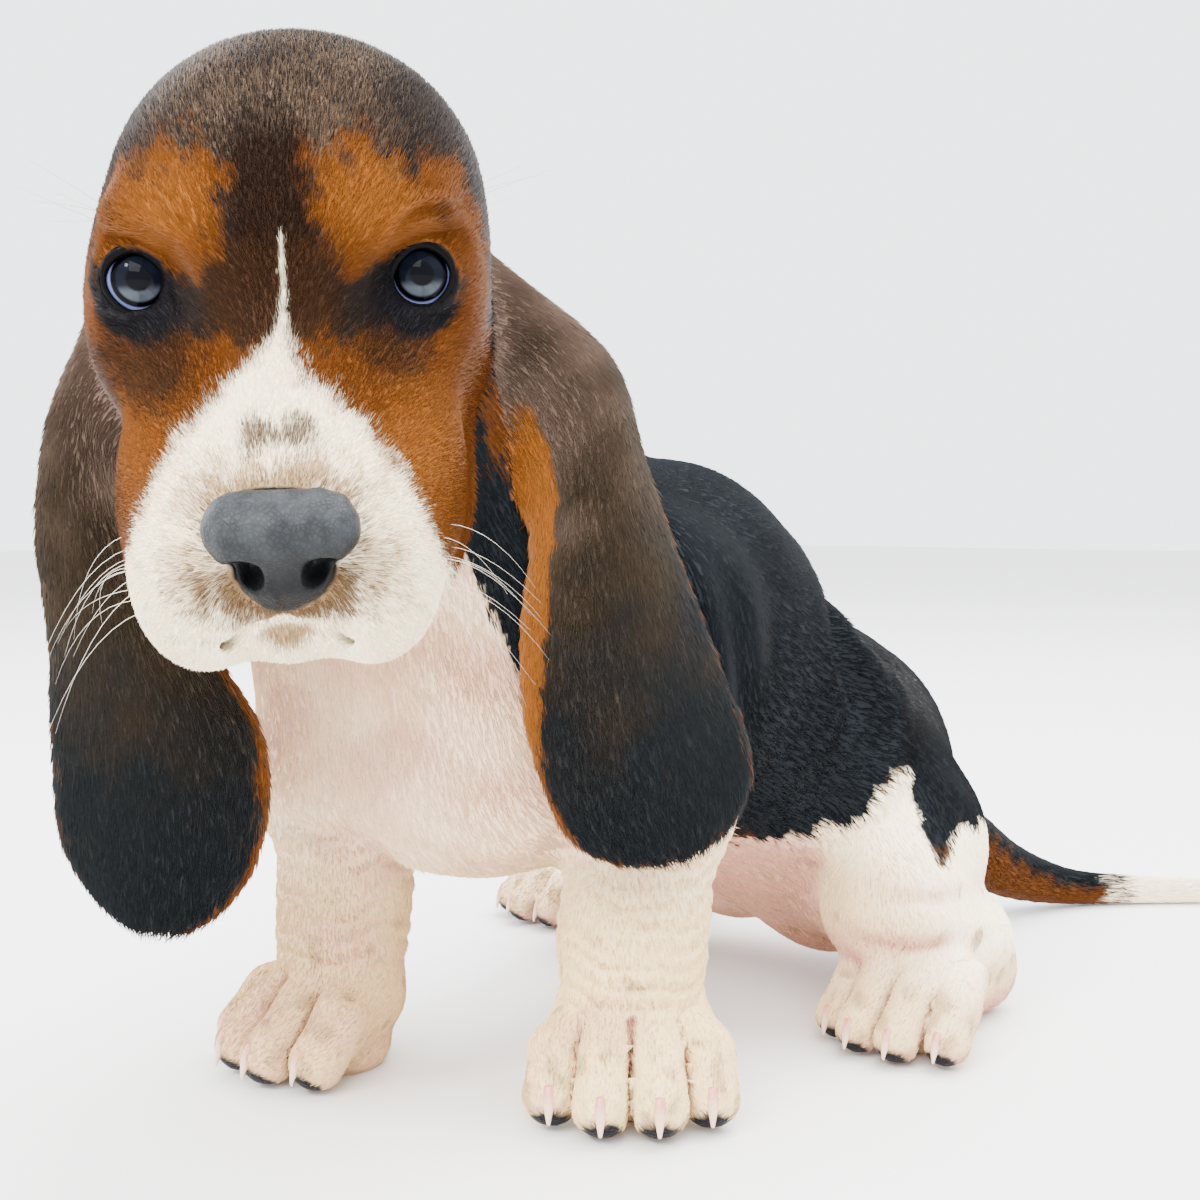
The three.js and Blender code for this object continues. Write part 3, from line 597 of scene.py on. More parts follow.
@dataclass(frozen=True)
class EarForm:
    """An ear: a sheet hung between a front, a middle and a rear line, given in the head's frame.

    Across it the sheet is the parabola through the three lines. With b from 0 at tip_start to 1 at the end
    and s from -1 to 1 across, the outline is where n = (|s|^tip + b^tip)^(1 / tip) is 1, and the half
    thickness is rim plus thick times the root of 1 - n^5.
    """

    name: str
    front: tuple
    middle: tuple
    rear: tuple
    rolled: float = 0.0
    thick: float = 1.0
    rim: float = 0.8
    tip: float = 2.6
    tip_start: float = 0.85
    along: int = 121
    across: int = 49

    def sheet(self, u: Array, v: Array) -> Array:
        """Points of the sheet in the maker's frame, before its tip is rounded off.

        Args:
            u: places from the root, 0, to the tip, 1.
            v: places from the front edge, 0, to the rear edge, 1.

        Returns:
            One point for each pair.
        """
        f, m, r = (spline(HEAD.place(line), u) for line in (self.front, self.middle, self.rear))
        s = (2 * v - 1)[:, None]
        return f * (s * s - s) / 2 + m * (1 - s * s) + r * (s * s + s) / 2

    def trim(self, u: Array, v: Array) -> tuple[Array, Array, Array]:
        """Draws places beyond the rounded tip in to the outline.

        Args:
            u: places from the root to the tip.
            v: places from the front edge to the rear edge.

        Returns:
            u and v on the ear, and how near the outline each place is, from 0 in the middle to 1 on it.
        """
        s = 2 * v - 1
        b = np.maximum(0, (u - self.tip_start) / (1 - self.tip_start))
        n = (np.abs(s) ** self.tip + b**self.tip) ** (1 / self.tip)
        k = 1 / np.maximum(n, 1)
        u = np.where(b > 0, self.tip_start + (1 - self.tip_start) * b * k, u)
        return u, 0.5 + 0.5 * s * k, np.minimum(n, 1)

    def table(self) -> tuple[Array, Array, Array]:
        """Returns:
            Points, and directions along and across by unit of u and of v, each (along, across, 3).
        """
        u, v = np.meshgrid(np.linspace(0, 1, self.along), np.linspace(0, 1, self.across), indexing="ij")
        points = self.sheet(u.ravel(), v.ravel()).reshape(self.along, self.across, 3)
        return points, np.gradient(points, u[:, 0], axis=0), np.gradient(points, v[0], axis=1)

    def coarse(self, p: Array, table: tuple) -> tuple[Array, Array]:
        """The nearest of a few hundred samples of the sheet.

        Args:
            p: (n, 3) points in the maker's frame.
            table: what table() gives.

        Returns:
            The number of the sample and how far it is, for each point.
        """
        samples = table[0][::8, ::6].reshape(-1, 3).astype(np.float32)
        best, gap = np.empty(len(p), int), np.empty(len(p), p.dtype)
        for rows in batches(len(p)):
            part = p[rows].astype(np.float32)
            square = (samples * samples).sum(1) - 2 * part @ samples.T
            pick = square.argmin(1)
            best[rows] = pick
            gap[rows] = np.linalg.norm(part - samples[pick], axis=1)
        return best, gap

    def find(self, p: Array, table: tuple, best: Array | None = None) -> tuple[Array, Array]:
        """The place on the sheet nearest to each point, from the nearest coarse sample and then a few
        steps along the sheet's own directions.

        Args:
            p: (n, 3) points in the maker's frame.
            table: what table() gives.
            best: the nearest coarse sample, if it is known.

        Returns:
            u and v of each point.
        """
        points, du, dv = table
        nu, nv = points[::8, ::6].shape[:2]
        if best is None:
            best = self.coarse(p, table)[0]
        u, v = (best // nv) / (nu - 1.0), (best % nv) / (nv - 1.0)
        for _ in range(3):
            i = np.clip((u * (self.along - 1)).round().astype(int), 0, self.along - 1)
            j = np.clip((v * (self.across - 1)).round().astype(int), 0, self.across - 1)
            q = p - points[i, j]
            a, b = du[i, j], dv[i, j]
            aa, bb, ab = (a * a).sum(1) + 1e-6, (b * b).sum(1) + 1e-6, (a * b).sum(1)
            qa, qb = (q * a).sum(1), (q * b).sum(1)
            det = np.maximum(aa * bb - ab * ab, 0.05 * aa * bb)
            step_u = np.clip((qa * bb - qb * ab) / det, -0.06, 0.06)
            step_v = np.clip((qb * aa - qa * ab) / det, -0.2, 0.2)
            u = np.clip(i / (self.along - 1) + step_u, 0, 1)
            v = np.clip(j / (self.across - 1) + step_v, 0, 1)
        return u, v

    def shape(self) -> Shape:
        """The ear as a distance: to the nearest place on the sheet, less its half thickness there."""
        table = self.table()
        points = table[0].reshape(-1, 3)
        middle, reach = points.mean(0), np.linalg.norm(points - points.mean(0), axis=1).max()

        def distance(p: Array) -> Array:
            """Distance to the ear, only roughly where that is more than about 10 mm."""
            far = np.linalg.norm(p - middle.astype(p.dtype), axis=1) - reach
            near = np.flatnonzero(far < 12)
            best, gap = self.coarse(p[near], table)
            far[near] = np.maximum(gap - 5, 4)
            close = gap < 12
            near, best = near[close], best[close]
            u, v, n = self.trim(*self.find(p[near], table, best))
            half = self.thick * np.sqrt(1 - n**5) + self.rim
            far[near] = np.linalg.norm(p[near] - self.sheet(u, v), axis=1) - half
            return far

        return distance


EARS = (
    EarForm(
        "ear_left",
        ((33, -15, -38), (46, -6, -46), (54, 14, -58), (51, 32, -71),
         (50, 46, -84), (53, 56, -96), (58, 63, -107), (66, 66, -116)),
        ((37, -31, -20), (54, -24, -24), (68, -4, -36), (70, 24, -55),
         (72, 43, -73), (75, 55, -90), (78, 61, -103), (82, 65, -115)),
        ((37, -47, -2), (55, -39, -17), (76, -24, -32), (82, -2, -49),
         (88, 18, -65), (95, 35, -82), (101, 49, -98), (101, 59, -112)),
        0.16,
    ),
    EarForm(
        "ear_right",
        ((-33, -15, -38), (-40, -6, -50), (-30, 12, -66), (-18, 32, -78),
         (-10, 42, -90), (-9, 48, -103), (-12, 53, -117), (-18, 57, -130)),
        ((-37, -31, -20), (-47, -22, -33), (-49, -4, -50), (-42, 18, -71),
         (-37, 32, -88), (-35, 42, -105), (-34, 50, -121), (-35, 54, -137)),
        ((-37, -47, -2), (-45, -38, -20), (-56, -20, -40), (-60, -4, -60),
         (-58, 11, -83), (-58, 25, -102), (-57, 37, -119), (-53, 45, -135)),
    ),
)


class Where(Enum):
    """The frame in which a line on the skin is given."""

    HEAD = "head"
    BODY = "body"


@dataclass(frozen=True)
class Fold:
    """A crease of the skin along a line, with the skin raised a little on both sides of it.

    At a distance r from the line the skin sinks by depth exp(-(r / width)^2) and rises by
    ridge exp(-((r - 2 width) / (1.3 width))^2).
    """

    line: tuple
    width: float
    depth: float
    ridge: float = 0.3
    where: Where = Where.BODY
    mirrored: bool = False

    def sink(self, body: Array, head: Array) -> Array:
        """How far the skin sinks at each point.

        Args:
            body: points in the maker's frame.
            head: the same points in the head's frame.

        Returns:
            Depth in millimetres, negative where the skin rises.
        """
        p = head.copy() if self.where is Where.HEAD else body
        if self.mirrored:
            p[:, 0] = np.abs(p[:, 0])
        knots = np.array(self.line, float)
        points = spline(knots, np.linspace(0, 1, 4 * len(knots)))
        middle = points.mean(0)
        reach = np.linalg.norm(points - middle, axis=1).max() + 5 * self.width
        out = np.zeros(len(p), p.dtype)
        near = np.linalg.norm(p - middle.astype(p.dtype), axis=1) < reach
        if near.any():
            rods = limb(0.01, *[(tuple(q), 0.0) for q in points])
            r = rods(p[near])
            ends = np.minimum(np.linalg.norm(p[near] - points[0], axis=1),
                              np.linalg.norm(p[near] - points[-1], axis=1))
            fade = np.clip(ends / (3 * self.width), 0, 1)
            rise = self.ridge * self.depth * np.exp(-((r - 2 * self.width) / (1.3 * self.width)) ** 2)
            out[near] = fade * (self.depth * np.exp(-(r / self.width) ** 2) - rise)
        return out


@dataclass
class SkinForm:
    """The whole skin as one distance: the flesh sunk by the depth of its coat, with ears and folds."""

    folds: tuple[Fold, ...] = ()
    depth_body: float = 1.2
    depth_head: float = 0.6
    depth_paw: float = 0.5
    depth_bare: float = 0.1
    depth_nose: float = 1.0
    cleft: float = 1.6
    head: HeadForm = HeadForm()
    trunk: TrunkForm = TrunkForm()
    tail: TailForm = TailForm()

    def __post_init__(self) -> None:
        """Builds the distances once."""
        self.head_shape = placed(HEAD, 85, self.head.shape())
        self.body_shape = self.trunk.shape()
        self.leg_shapes = {leg.name: leg.shape() for leg in LEGS}
        self.ear_shapes = {ear.name: ear.shape() for ear in EARS}
        self.tail_shape = self.tail.shape()

    def flesh(self, p: Array) -> Array:
        """Distance to the flesh of the solids, without the ears."""
        limbs = (*self.leg_shapes.values(), self.tail_shape)
        return blend(8, blend(12, self.body_shape, self.head_shape), *limbs)(p)

    def depth(self, p: Array, q: Array) -> Array:
        """How deep the skin lies under the tips of the coat.

        Args:
            p: points in the maker's frame.
            q: the same points in the head's frame.

        Returns:
            Depth in millimetres.
        """
        near_head = smooth(110, 80, np.linalg.norm(q - np.array([0, -5, -15], q.dtype), axis=1))
        d = self.depth_body + (self.depth_head - self.depth_body) * near_head
        d = d + (self.depth_paw - d) * smooth(42, 26, p[:, 2]) * smooth(100, 70, p[:, 1])
        mirrored = np.abs(q[:, 0])
        eye = np.sqrt((mirrored - self.head.eye[0]) ** 2 + (q[:, 1] - self.head.eye[1]) ** 2 + q[:, 2] ** 2)
        nose = np.linalg.norm(q - np.array([0, 72, -27], q.dtype), axis=1)
        d = d + (self.depth_bare - d) * smooth(17, 12, eye)
        return d + (self.depth_nose - d) * smooth(22, 14, nose)

    def wrinkles(self, p: Array) -> Array:
        """Rings of loose skin round the wrists: a wave along the height that wanders round the leg.

        Args:
            p: points in the maker's frame.

        Returns:
            How far the skin sinks, in millimetres.
        """
        total = np.zeros(len(p), p.dtype)
        for leg, low, high, pitch in ((LEGS[0], 22, 74, 4.8), (LEGS[1], 22, 74, 5.4)):
            q = leg.paw.axes.read(p)
            round_leg = np.arctan2(q[:, 0], q[:, 1])
            height = q[:, 2] + 1.6 * np.sin(2 * round_leg + 0.7) + 0.9 * np.sin(5 * round_leg + low)
            wave = 0.5 + 0.5 * np.cos(2 * math.pi * height / pitch + 0.8 * np.sin(round_leg))
            here = smooth(low, low + 8, q[:, 2]) * smooth(high, high - 16, q[:, 2])
            here = here * smooth(34, 26, np.hypot(q[:, 0], q[:, 1]))
            total += 1.1 * here * wave**2 * (0.7 + 0.3 * np.sin(3 * round_leg + 0.4 * q[:, 2]))
        return total

    def distance(self, p: Array) -> Array:
        """Distance to the skin."""
        q = HEAD.read(p)
        d = self.flesh(p) + self.depth(p, q) + self.wrinkles(p) + self.cleft * clefts(p, 2.4)
        for fold in self.folds:
            d = d + fold.sink(p, q)
        for shape in self.ear_shapes.values():
            d = join(d, shape(p), 3)
        return np.maximum(d, -p[:, 2])


# Turning a distance into a mesh.


@dataclass(frozen=True)
class Grid:
    """Where a distance is read: the places along each axis, closer together where the form is finer."""

    xs: Array
    ys: Array
    zs: Array
    block: int = 8

    @staticmethod
    def places(*spans: tuple[float, float, float]) -> Array:
        """Places along an axis through spans of (from, to, about how far apart)."""
        parts = [np.linspace(a, b, max(2, round((b - a) / step)) + 1)[:-1] for a, b, step in spans]
        return np.concatenate([*parts, [spans[-1][1]]])

    @staticmethod
    def even(low: Sequence[float], high: Sequence[float], cell: float) -> "Grid":
        """A grid of cubes between two corners."""
        return Grid(*[Grid.places((a, b, cell)) for a, b in zip(low, high)])

    def sample(self, shape: Shape) -> Array:
        """Reads a distance in every block near its surface, and once in the middle of the others.

        Args:
            shape: the shape.

        Returns:
            The distances on the grid.
        """
        axes = (self.xs, self.ys, self.zs)
        n = self.block
        counts = [math.ceil(len(a) / n) for a in axes]
        firsts = [np.arange(c) * n for c in counts]
        lasts = [np.minimum(f + n, len(a) - 1) for f, a in zip(firsts, axes)]
        mids = [(a[f] + a[e]) / 2 for a, f, e in zip(axes, firsts, lasts)]
        halves = [(a[e] - a[f]) / 2 for a, f, e in zip(axes, firsts, lasts)]
        centre = np.stack(np.meshgrid(*mids, indexing="ij"), -1).reshape(-1, 3)
        half = np.linalg.norm(np.stack(np.meshgrid(*halves, indexing="ij"), -1).reshape(-1, 3), axis=1)
        coarse = shape(centre)
        near = np.abs(coarse) < 1.7 * half + 2
        values = np.repeat(np.repeat(np.repeat(
            coarse.reshape(counts).astype(np.float32), n, 0), n, 1), n, 2)
        padded = [np.append(a, np.full(c * n - len(a), a[-1])) for a, c in zip(axes, counts)]
        blocks = np.argwhere(near.reshape(counts)) * n
        step = np.arange(n)
        for rows in batches(len(blocks), 600):
            part = blocks[rows]
            i, j, k = (part[:, axis, None] + step for axis in range(3))
            x = np.broadcast_to(padded[0][i][:, :, None, None], (len(part), n, n, n))
            y = np.broadcast_to(padded[1][j][:, None, :, None], x.shape)
            z = np.broadcast_to(padded[2][k][:, None, None, :], x.shape)
            points = np.stack([x, y, z], -1).reshape(-1, 3).astype(np.float32)
            found = shape(points).reshape(x.shape)
            values[i[:, :, None, None], j[:, None, :, None], k[:, None, None, :]] = found
        return values[:len(self.xs), :len(self.ys), :len(self.zs)]

    def net(self, shape: Shape, settle: int = 2) -> tuple[Array, Array]:
        """Casts a net over a distance: one point in each cell that the surface crosses, the mean of where
        it crosses the cell's edges, one square over each crossed edge, and the points then drawn on to
        the surface along its gradient.

        Args:
            shape: the shape.
            settle: how many times the points are drawn on to the surface.

        Returns:
            Points and the squares between them, turned outwards.
        """
        axes = (self.xs, self.ys, self.zs)
        values = self.sample(shape)
        inside = values < 0
        cells = np.array(values.shape) - 1
        edges, corners, sums = [], [], []
        for axis in range(3):
            low = [slice(None)] * 3
            high = [slice(None)] * 3
            low[axis], high[axis] = slice(0, -1), slice(1, None)
            low, high = tuple(low), tuple(high)
            at = np.argwhere(inside[low] != inside[high])
            b, c = (axis + 1) % 3, (axis + 2) % 3
            at = at[(at[:, b] > 0) & (at[:, c] > 0) & (at[:, b] < cells[b]) & (at[:, c] < cells[c])]
            start = values[tuple(at.T)].astype(float)
            after = at.copy()
            after[:, axis] += 1
            end = values[tuple(after.T)].astype(float)
            place = np.stack([axes[i][at[:, i]] for i in range(3)], 1)
            place[:, axis] += (start / (start - end)) * (axes[axis][after[:, axis]] - place[:, axis])
            around = np.repeat(at[:, None, :], 4, 1)
            around[:, :, b] += np.array([-1, 0, 0, -1])
            around[:, :, c] += np.array([-1, -1, 0, 0])
            ids = (around[..., 0] * cells[1] + around[..., 1]) * cells[2] + around[..., 2]
            edges.append(np.where((start < 0)[:, None], ids, ids[:, ::-1]))
            corners.append(ids.ravel())
            sums.append(np.repeat(place, 4, 0))
        ids = np.concatenate(corners)
        place = np.concatenate(sums)
        keys, which = np.unique(ids, return_inverse=True)
        count = np.bincount(which)
        points = np.stack([np.bincount(which, place[:, i]) / count for i in range(3)], 1)
        squares = np.searchsorted(keys, np.concatenate(edges))
        for _ in range(settle):
            slope = slope_of(shape, points)
            step = shape(points)[:, None] * slope / np.maximum((slope * slope).sum(1), 0.25)[:, None]
            points -= np.clip(step, -0.6, 0.6)
        return points, squares


SHIFT = np.mean(box_of("eye_left"), axis=0) - HEAD.place(HeadForm().eye)


def make_object(name: str, points: Array, faces: Array, is_smooth: bool = True) -> bpy.types.Object:
    """Makes a mesh object from points in the maker's frame.

    Args:
        name: the piece's name.
        points: (n, 3) millimetres.
        faces: (m, 3) or (m, 4) numbers of points.
        is_smooth: whether its faces are shaded smooth.

    Returns:
        The object, at the origin, in the scene, riding on the part's body.
    """
    mesh = bpy.data.meshes.new(name)
    mesh.vertices.add(len(points))
    mesh.vertices.foreach_set("co", ((points + SHIFT) * MM).astype(np.float32).ravel())
    mesh.loops.add(faces.size)
    mesh.loops.foreach_set("vertex_index", faces.astype(np.int32).ravel())
    mesh.polygons.add(len(faces))
    mesh.polygons.foreach_set("loop_start", np.arange(0, faces.size, faces.shape[1], dtype=np.int32))
    mesh.polygons.foreach_set("use_smooth", np.full(len(faces), is_smooth))
    mesh.update(calc_edges=True)
    piece = bpy.data.objects.new(name, mesh)
    bpy.context.scene.collection.objects.link(piece)
    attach(piece, "root")
    LOG.info("%s: %d faces", name, len(faces))
    return piece


# Materials.


class Wire:
    """A socket in an expression: arithmetic on it adds the Math nodes that work it out."""

    def __init__(self, sheet: "Sheet", socket: bpy.types.NodeSocket) -> None:
        """Wraps a socket of a sheet's tree."""
        self.sheet, self.socket = sheet, socket

    def maths(self, operation: str, *values: object, clamp: bool = False) -> "Wire":
        """Adds one Math node.

        Args:
            operation: what it works out.
            *values: its numbers or Wires.
            clamp: whether the result is kept between 0 and 1.

        Returns:
            Its result.
        """
        node = self.sheet.node("ShaderNodeMath", {"operation": operation, "use_clamp": clamp},
                               dict(enumerate(values)))
        return Wire(self.sheet, node.outputs[0])

    def __add__(self, other: object) -> "Wire":
        """Sum."""
        return self.maths("ADD", self, other)

    __radd__ = __add__

    def __sub__(self, other: object) -> "Wire":
        """Difference."""
        return self.maths("SUBTRACT", self, other)

    def __rsub__(self, other: object) -> "Wire":
        """Difference the other way round."""
        return self.maths("SUBTRACT", other, self)

    def __mul__(self, other: object) -> "Wire":
        """Product."""
        return self.maths("MULTIPLY", self, other)

    __rmul__ = __mul__

    def __truediv__(self, other: object) -> "Wire":
        """Quotient."""
        return self.maths("DIVIDE", self, other)

    def __pow__(self, other: object) -> "Wire":
        """Power."""
        return self.maths("POWER", self, other)

    def step(self, low: float, high: float) -> "Wire":
        """A soft step.

        Args:
            low: where it leaves 0.
            high: where it reaches 1.

        Returns:
            The step's height.
        """
        kind = {"interpolation_type": "SMOOTHSTEP"}
        node = self.sheet.node("ShaderNodeMapRange", kind, {"Value": self, "From Min": low, "From Max": high})
        return Wire(self.sheet, node.outputs[0])


class Sheet:
    """A material and its node tree."""

    def __init__(self, name: str) -> None:
        """Starts a material with one shader and its output.

        Args:
            name: the material's name.
        """
        self.material = bpy.data.materials.new(name)
        self.material.use_nodes = True
        self.tree = self.material.node_tree
        self.tree.nodes.clear()
        self.shader = self.node("ShaderNodeBsdfPrincipled")
        out = self.node("ShaderNodeOutputMaterial")
        self.tree.links.new(self.shader.outputs[0], out.inputs["Surface"])

    def node(self, kind: str, settings: dict | None = None, inputs: dict | None = None) -> bpy.types.Node:
        """Adds a node.

        Args:
            kind: the node's type.
            settings: what is set on the node itself, first.
            inputs: a value or a Wire for each socket, by name or number.

        Returns:
            The node.
        """
        node = self.tree.nodes.new(kind)
        for key, value in (settings or {}).items():
            setattr(node, key, value)
        for key, value in (inputs or {}).items():
            self.feed(node.inputs[key], value)
        return node

    def feed(self, socket: bpy.types.NodeSocket, value: object) -> None:
        """Links a Wire to a socket, or sets the socket to a value.

        Args:
            socket: an input.
            value: a Wire, a number or a colour.
        """
        if isinstance(value, Wire):
            self.tree.links.new(value.socket, socket)
        else:
            socket.default_value = value

    def wire(self, kind: str, output: str | int, settings: dict | None = None,
             inputs: dict | None = None) -> Wire:
        """Adds a node and wraps one of its outputs."""
        return Wire(self, self.node(kind, settings, inputs).outputs[output])

    def place(self) -> Wire:
        """The place on the object, in metres."""
        return self.wire("ShaderNodeTexCoord", "Object")

    def attribute(self, name: str, output: str = "Color") -> Wire:
        """What the mesh stores for each point under a name."""
        return self.wire("ShaderNodeAttribute", output, {"attribute_name": name})

    def noise(self, scale: float, detail: float = 2.0, at: Wire | None = None) -> Wire:
        """Noise from 0 to 1, with scale in lumps to the metre."""
        inputs = {"Vector": at or self.place(), "Scale": scale, "Detail": detail}
        return self.wire("ShaderNodeTexNoise", "Fac", None, inputs)

    def mix(self, factor: object, a: object, b: object, how: str = "MIX") -> Wire:
        """A mix of two colours.

        Args:
            factor: the share of the second one.
            a: the first colour.
            b: the second colour.
            how: the node's way of mixing.

        Returns:
            The mixed colour.
        """
        node = self.node("ShaderNodeMix", {"data_type": "RGBA", "blend_type": how}, {0: factor, 6: a, 7: b})
        return Wire(self, node.outputs[2])

    def dim(self, colour: Wire, by: Wire) -> Wire:
        """A colour times a number."""
        grey = self.wire("ShaderNodeCombineColor", 0, None, dict.fromkeys(("Red", "Green", "Blue"), by))
        return self.mix(1.0, colour, grey, "MULTIPLY")

    def bump(self, height: Wire, depth: float, strength: float = 1.0) -> Wire:
        """A bump of a height from 0 to 1 that is depth metres deep."""
        inputs = {"Height": height, "Distance": depth, "Strength": strength}
        return self.wire("ShaderNodeBump", "Normal", None, inputs)

    def finish(self, **inputs: object) -> bpy.types.Material:
        """Sets the shader's sockets, named with _ for a space, and gives the material."""
        for key, value in inputs.items():
            self.feed(self.shader.inputs[key.replace("_", " ")], value)
        return self.material


def paint(red: int, green: int, blue: int) -> tuple[float, float, float, float]:
    """A colour named as on a screen, as light.

    Args:
        red: from 0 to 255.
        green: from 0 to 255.
        blue: from 0 to 255.

    Returns:
        Red, green and blue light from 0 to 1, and 1.
    """
    rgb = np.array([red, green, blue]) / 255
    rgb = np.where(rgb <= 0.04045, rgb / 12.92, ((rgb + 0.055) / 1.055) ** 2.4)
    return (*(float(c) for c in rgb), 1.0)


# The stage.


@dataclass(frozen=True)
class Studio:
    """A pale floor, soft light and the camera, which stands level with the puppy's chest and looks at it
    from the front and its left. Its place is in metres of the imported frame."""

    lens: float = 48.0
    height: float = 0.145
    azimuth: float = 45.0
    down: float = 3.0
    place: tuple = (0.3076, -0.343)
    floor: tuple = paint(232, 230, 228)
    sky: tuple = paint(236, 239, 243)

    def camera(self) -> None:
        """Puts up the camera."""
        data = bpy.data.cameras.new("camera")
        data.lens, data.sensor_width, data.clip_start = self.lens, 36.0, 0.01
        camera = bpy.data.objects.new("camera", data)
        camera.location = (self.place[0] + SHIFT[0] * MM, self.place[1] + SHIFT[1] * MM, self.height)
        camera.rotation_euler = (math.radians(90 - self.down), 0, math.radians(self.azimuth))
        bpy.context.scene.collection.objects.link(camera)
        bpy.context.scene.camera = camera

    def lamp(self, name: str, at: Sequence[float], size: float, watts: float,
             tint: tuple = (1, 1, 1)) -> None:
        """Hangs a soft square lamp that faces the puppy.

        Args:
            name: the lamp's name.
            at: where it hangs, in metres.
            size: its width, in metres.
            watts: how strong it is.
            tint: its colour as light.
        """
        data = bpy.data.lights.new(name, "AREA")
        data.size, data.energy, data.color = size, watts, tint
        lamp = bpy.data.objects.new(name, data)
        lamp.location = at
        aim = bpy.context.scene.camera.location.copy()
        aim.x, aim.y, aim.z = 0.0, -0.02, 0.12
        lamp.rotation_euler = (aim - lamp.location).to_track_quat("-Z", "Y").to_euler()
        bpy.context.scene.collection.objects.link(lamp)

    def build(self) -> None:
        """Puts up floor, sky, camera and lamps."""
        self.camera()
        mesh = bpy.data.meshes.new("floor")
        s = 6.0
        mesh.from_pydata([(-s, -s, 0), (s, -s, 0), (s, s, 0), (-s, s, 0)], [], [(0, 1, 2, 3)])
        floor = bpy.data.objects.new("floor", mesh)
        bpy.context.scene.collection.objects.link(floor)
        sheet = Sheet("floor")
        mesh.materials.append(sheet.finish(Base_Color=self.floor, Roughness=0.6))
        world = bpy.data.worlds.new("sky")
        world.use_nodes = True
        back = world.node_tree.nodes["Background"]
        back.inputs["Color"].default_value, back.inputs["Strength"].default_value = self.sky, 4.0
        bpy.context.scene.world = world
        self.lamp("window", (0.9, -1.3, 1.5), 1.3, 78, (1.0, 0.98, 0.95))
        self.lamp("pane", (0.1, -1.7, 1.45), 0.28, 34, (1.0, 0.99, 0.97))
        self.lamp("fill", (-1.3, -0.7, 0.9), 1.4, 30, (0.95, 0.97, 1.0))
        self.lamp("above", (0.2, 0.5, 1.6), 1.6, 92, (0.95, 0.97, 1.0))


# Markings.


@dataclass(frozen=True)
class Palette:
    """The colours of the coat and of bare skin. Some carry painted light and shade."""

    black: tuple = paint(20, 23, 26)
    crown: tuple = paint(37, 31, 28)
    tick: tuple = paint(102, 83, 66)
    # ear is the grey-brown at the ear's root, made lighter by a painted sheen.
    ear: tuple = paint(94, 77, 67)
    ear_middle: tuple = paint(45, 37, 28)
    ear_tip: tuple = paint(25, 28, 30)
    tan: tuple = paint(90, 50, 18)
    tan_light: tuple = paint(120, 71, 27)
    brown: tuple = paint(50, 32, 20)
    stripe: tuple = paint(33, 22, 16)
    white: tuple = paint(249, 236, 208)
    # cream and sand are the warm tones of the lower legs and flush the pink of the chest, all painted darker
    # as painted shade.
    cream: tuple = paint(226, 199, 148)
    sand: tuple = paint(208, 176, 132)
    flush: tuple = paint(214, 176, 144)
    freckle: tuple = paint(168, 140, 104)
    taupe: tuple = paint(112, 88, 62)
    smudge: tuple = paint(106, 87, 68)
    # pink is the bare belly skin, painted darker as painted shade.
    pink: tuple = paint(198, 148, 130)
    # The next colour is the pink skin between the toes, painted darker as the shade in the clefts.
    toe_gap: tuple = paint(140, 96, 78)
    lid: tuple = paint(7, 6, 8)
    eye_skin: tuple = paint(25, 24, 26)
    pad: tuple = paint(24, 23, 26)

    def light(self, name: str) -> Array:
        """A colour as three numbers of light."""
        return np.array(getattr(self, name)[:3])


def lumps(p: Array, size: float, seed: int) -> Array:
    """A smooth noise from about -1 to 1: a sum of twelve waves whose length is near size and whose
    directions and phases are drawn with a seed.

    Args:
        p: (n, 3) points.
        size: length of the waves, in millimetres.
        seed: which draw.

    Returns:
        One number for each point.
    """
    draw = np.random.default_rng(seed)
    waves = unit(draw.normal(size=(12, 3))) * (2 * math.pi / size) * draw.uniform(0.7, 1.5, (12, 1))
    phases = draw.uniform(0, 2 * math.pi, 12)
    return np.sin(p @ waves.T + phases).sum(1) / 3.5


def tinted(colour: Array, tint: Array, mask: Array) -> Array:
    """Colours moved towards a tint as far as a mask from 0 to 1 says."""
    return colour + (tint - colour) * mask[:, None]


def dye(colour: Array, tint: Array, mask: Array, draw: Array, soft: float = 0.5) -> Array:
    """Tints hairs: where the mask is between 0 and 1 the hairs with the lower draws take the tint.

    Args:
        colour: (n, 3) colours.
        tint: one colour or one for each hair.
        mask: how many hairs are tinted, from 0 to 1.
        draw: each hair's own number from 0 to 1.
        soft: how gradually a hair changes, above 0; near 0 it changes all at once.

    Returns:
        The new colours.
    """
    return tinted(colour, tint, np.clip((mask * (1 + soft) - draw) / soft, 0, 1))


def along(x: Array, *stops: tuple[float, float]) -> Array:
    """A line through stops of (place, value), straight between them and level past the ends."""
    places, values = zip(*stops)
    return np.interp(x, places, values)


def face_height(q: Array) -> Array:
    """The height w across a face tipped back by about 20.7 degrees, for points of the head's frame: z times
    the cosine of that less y times its sine."""
    return q[:, 2] * 0.935 - q[:, 1] * 0.354


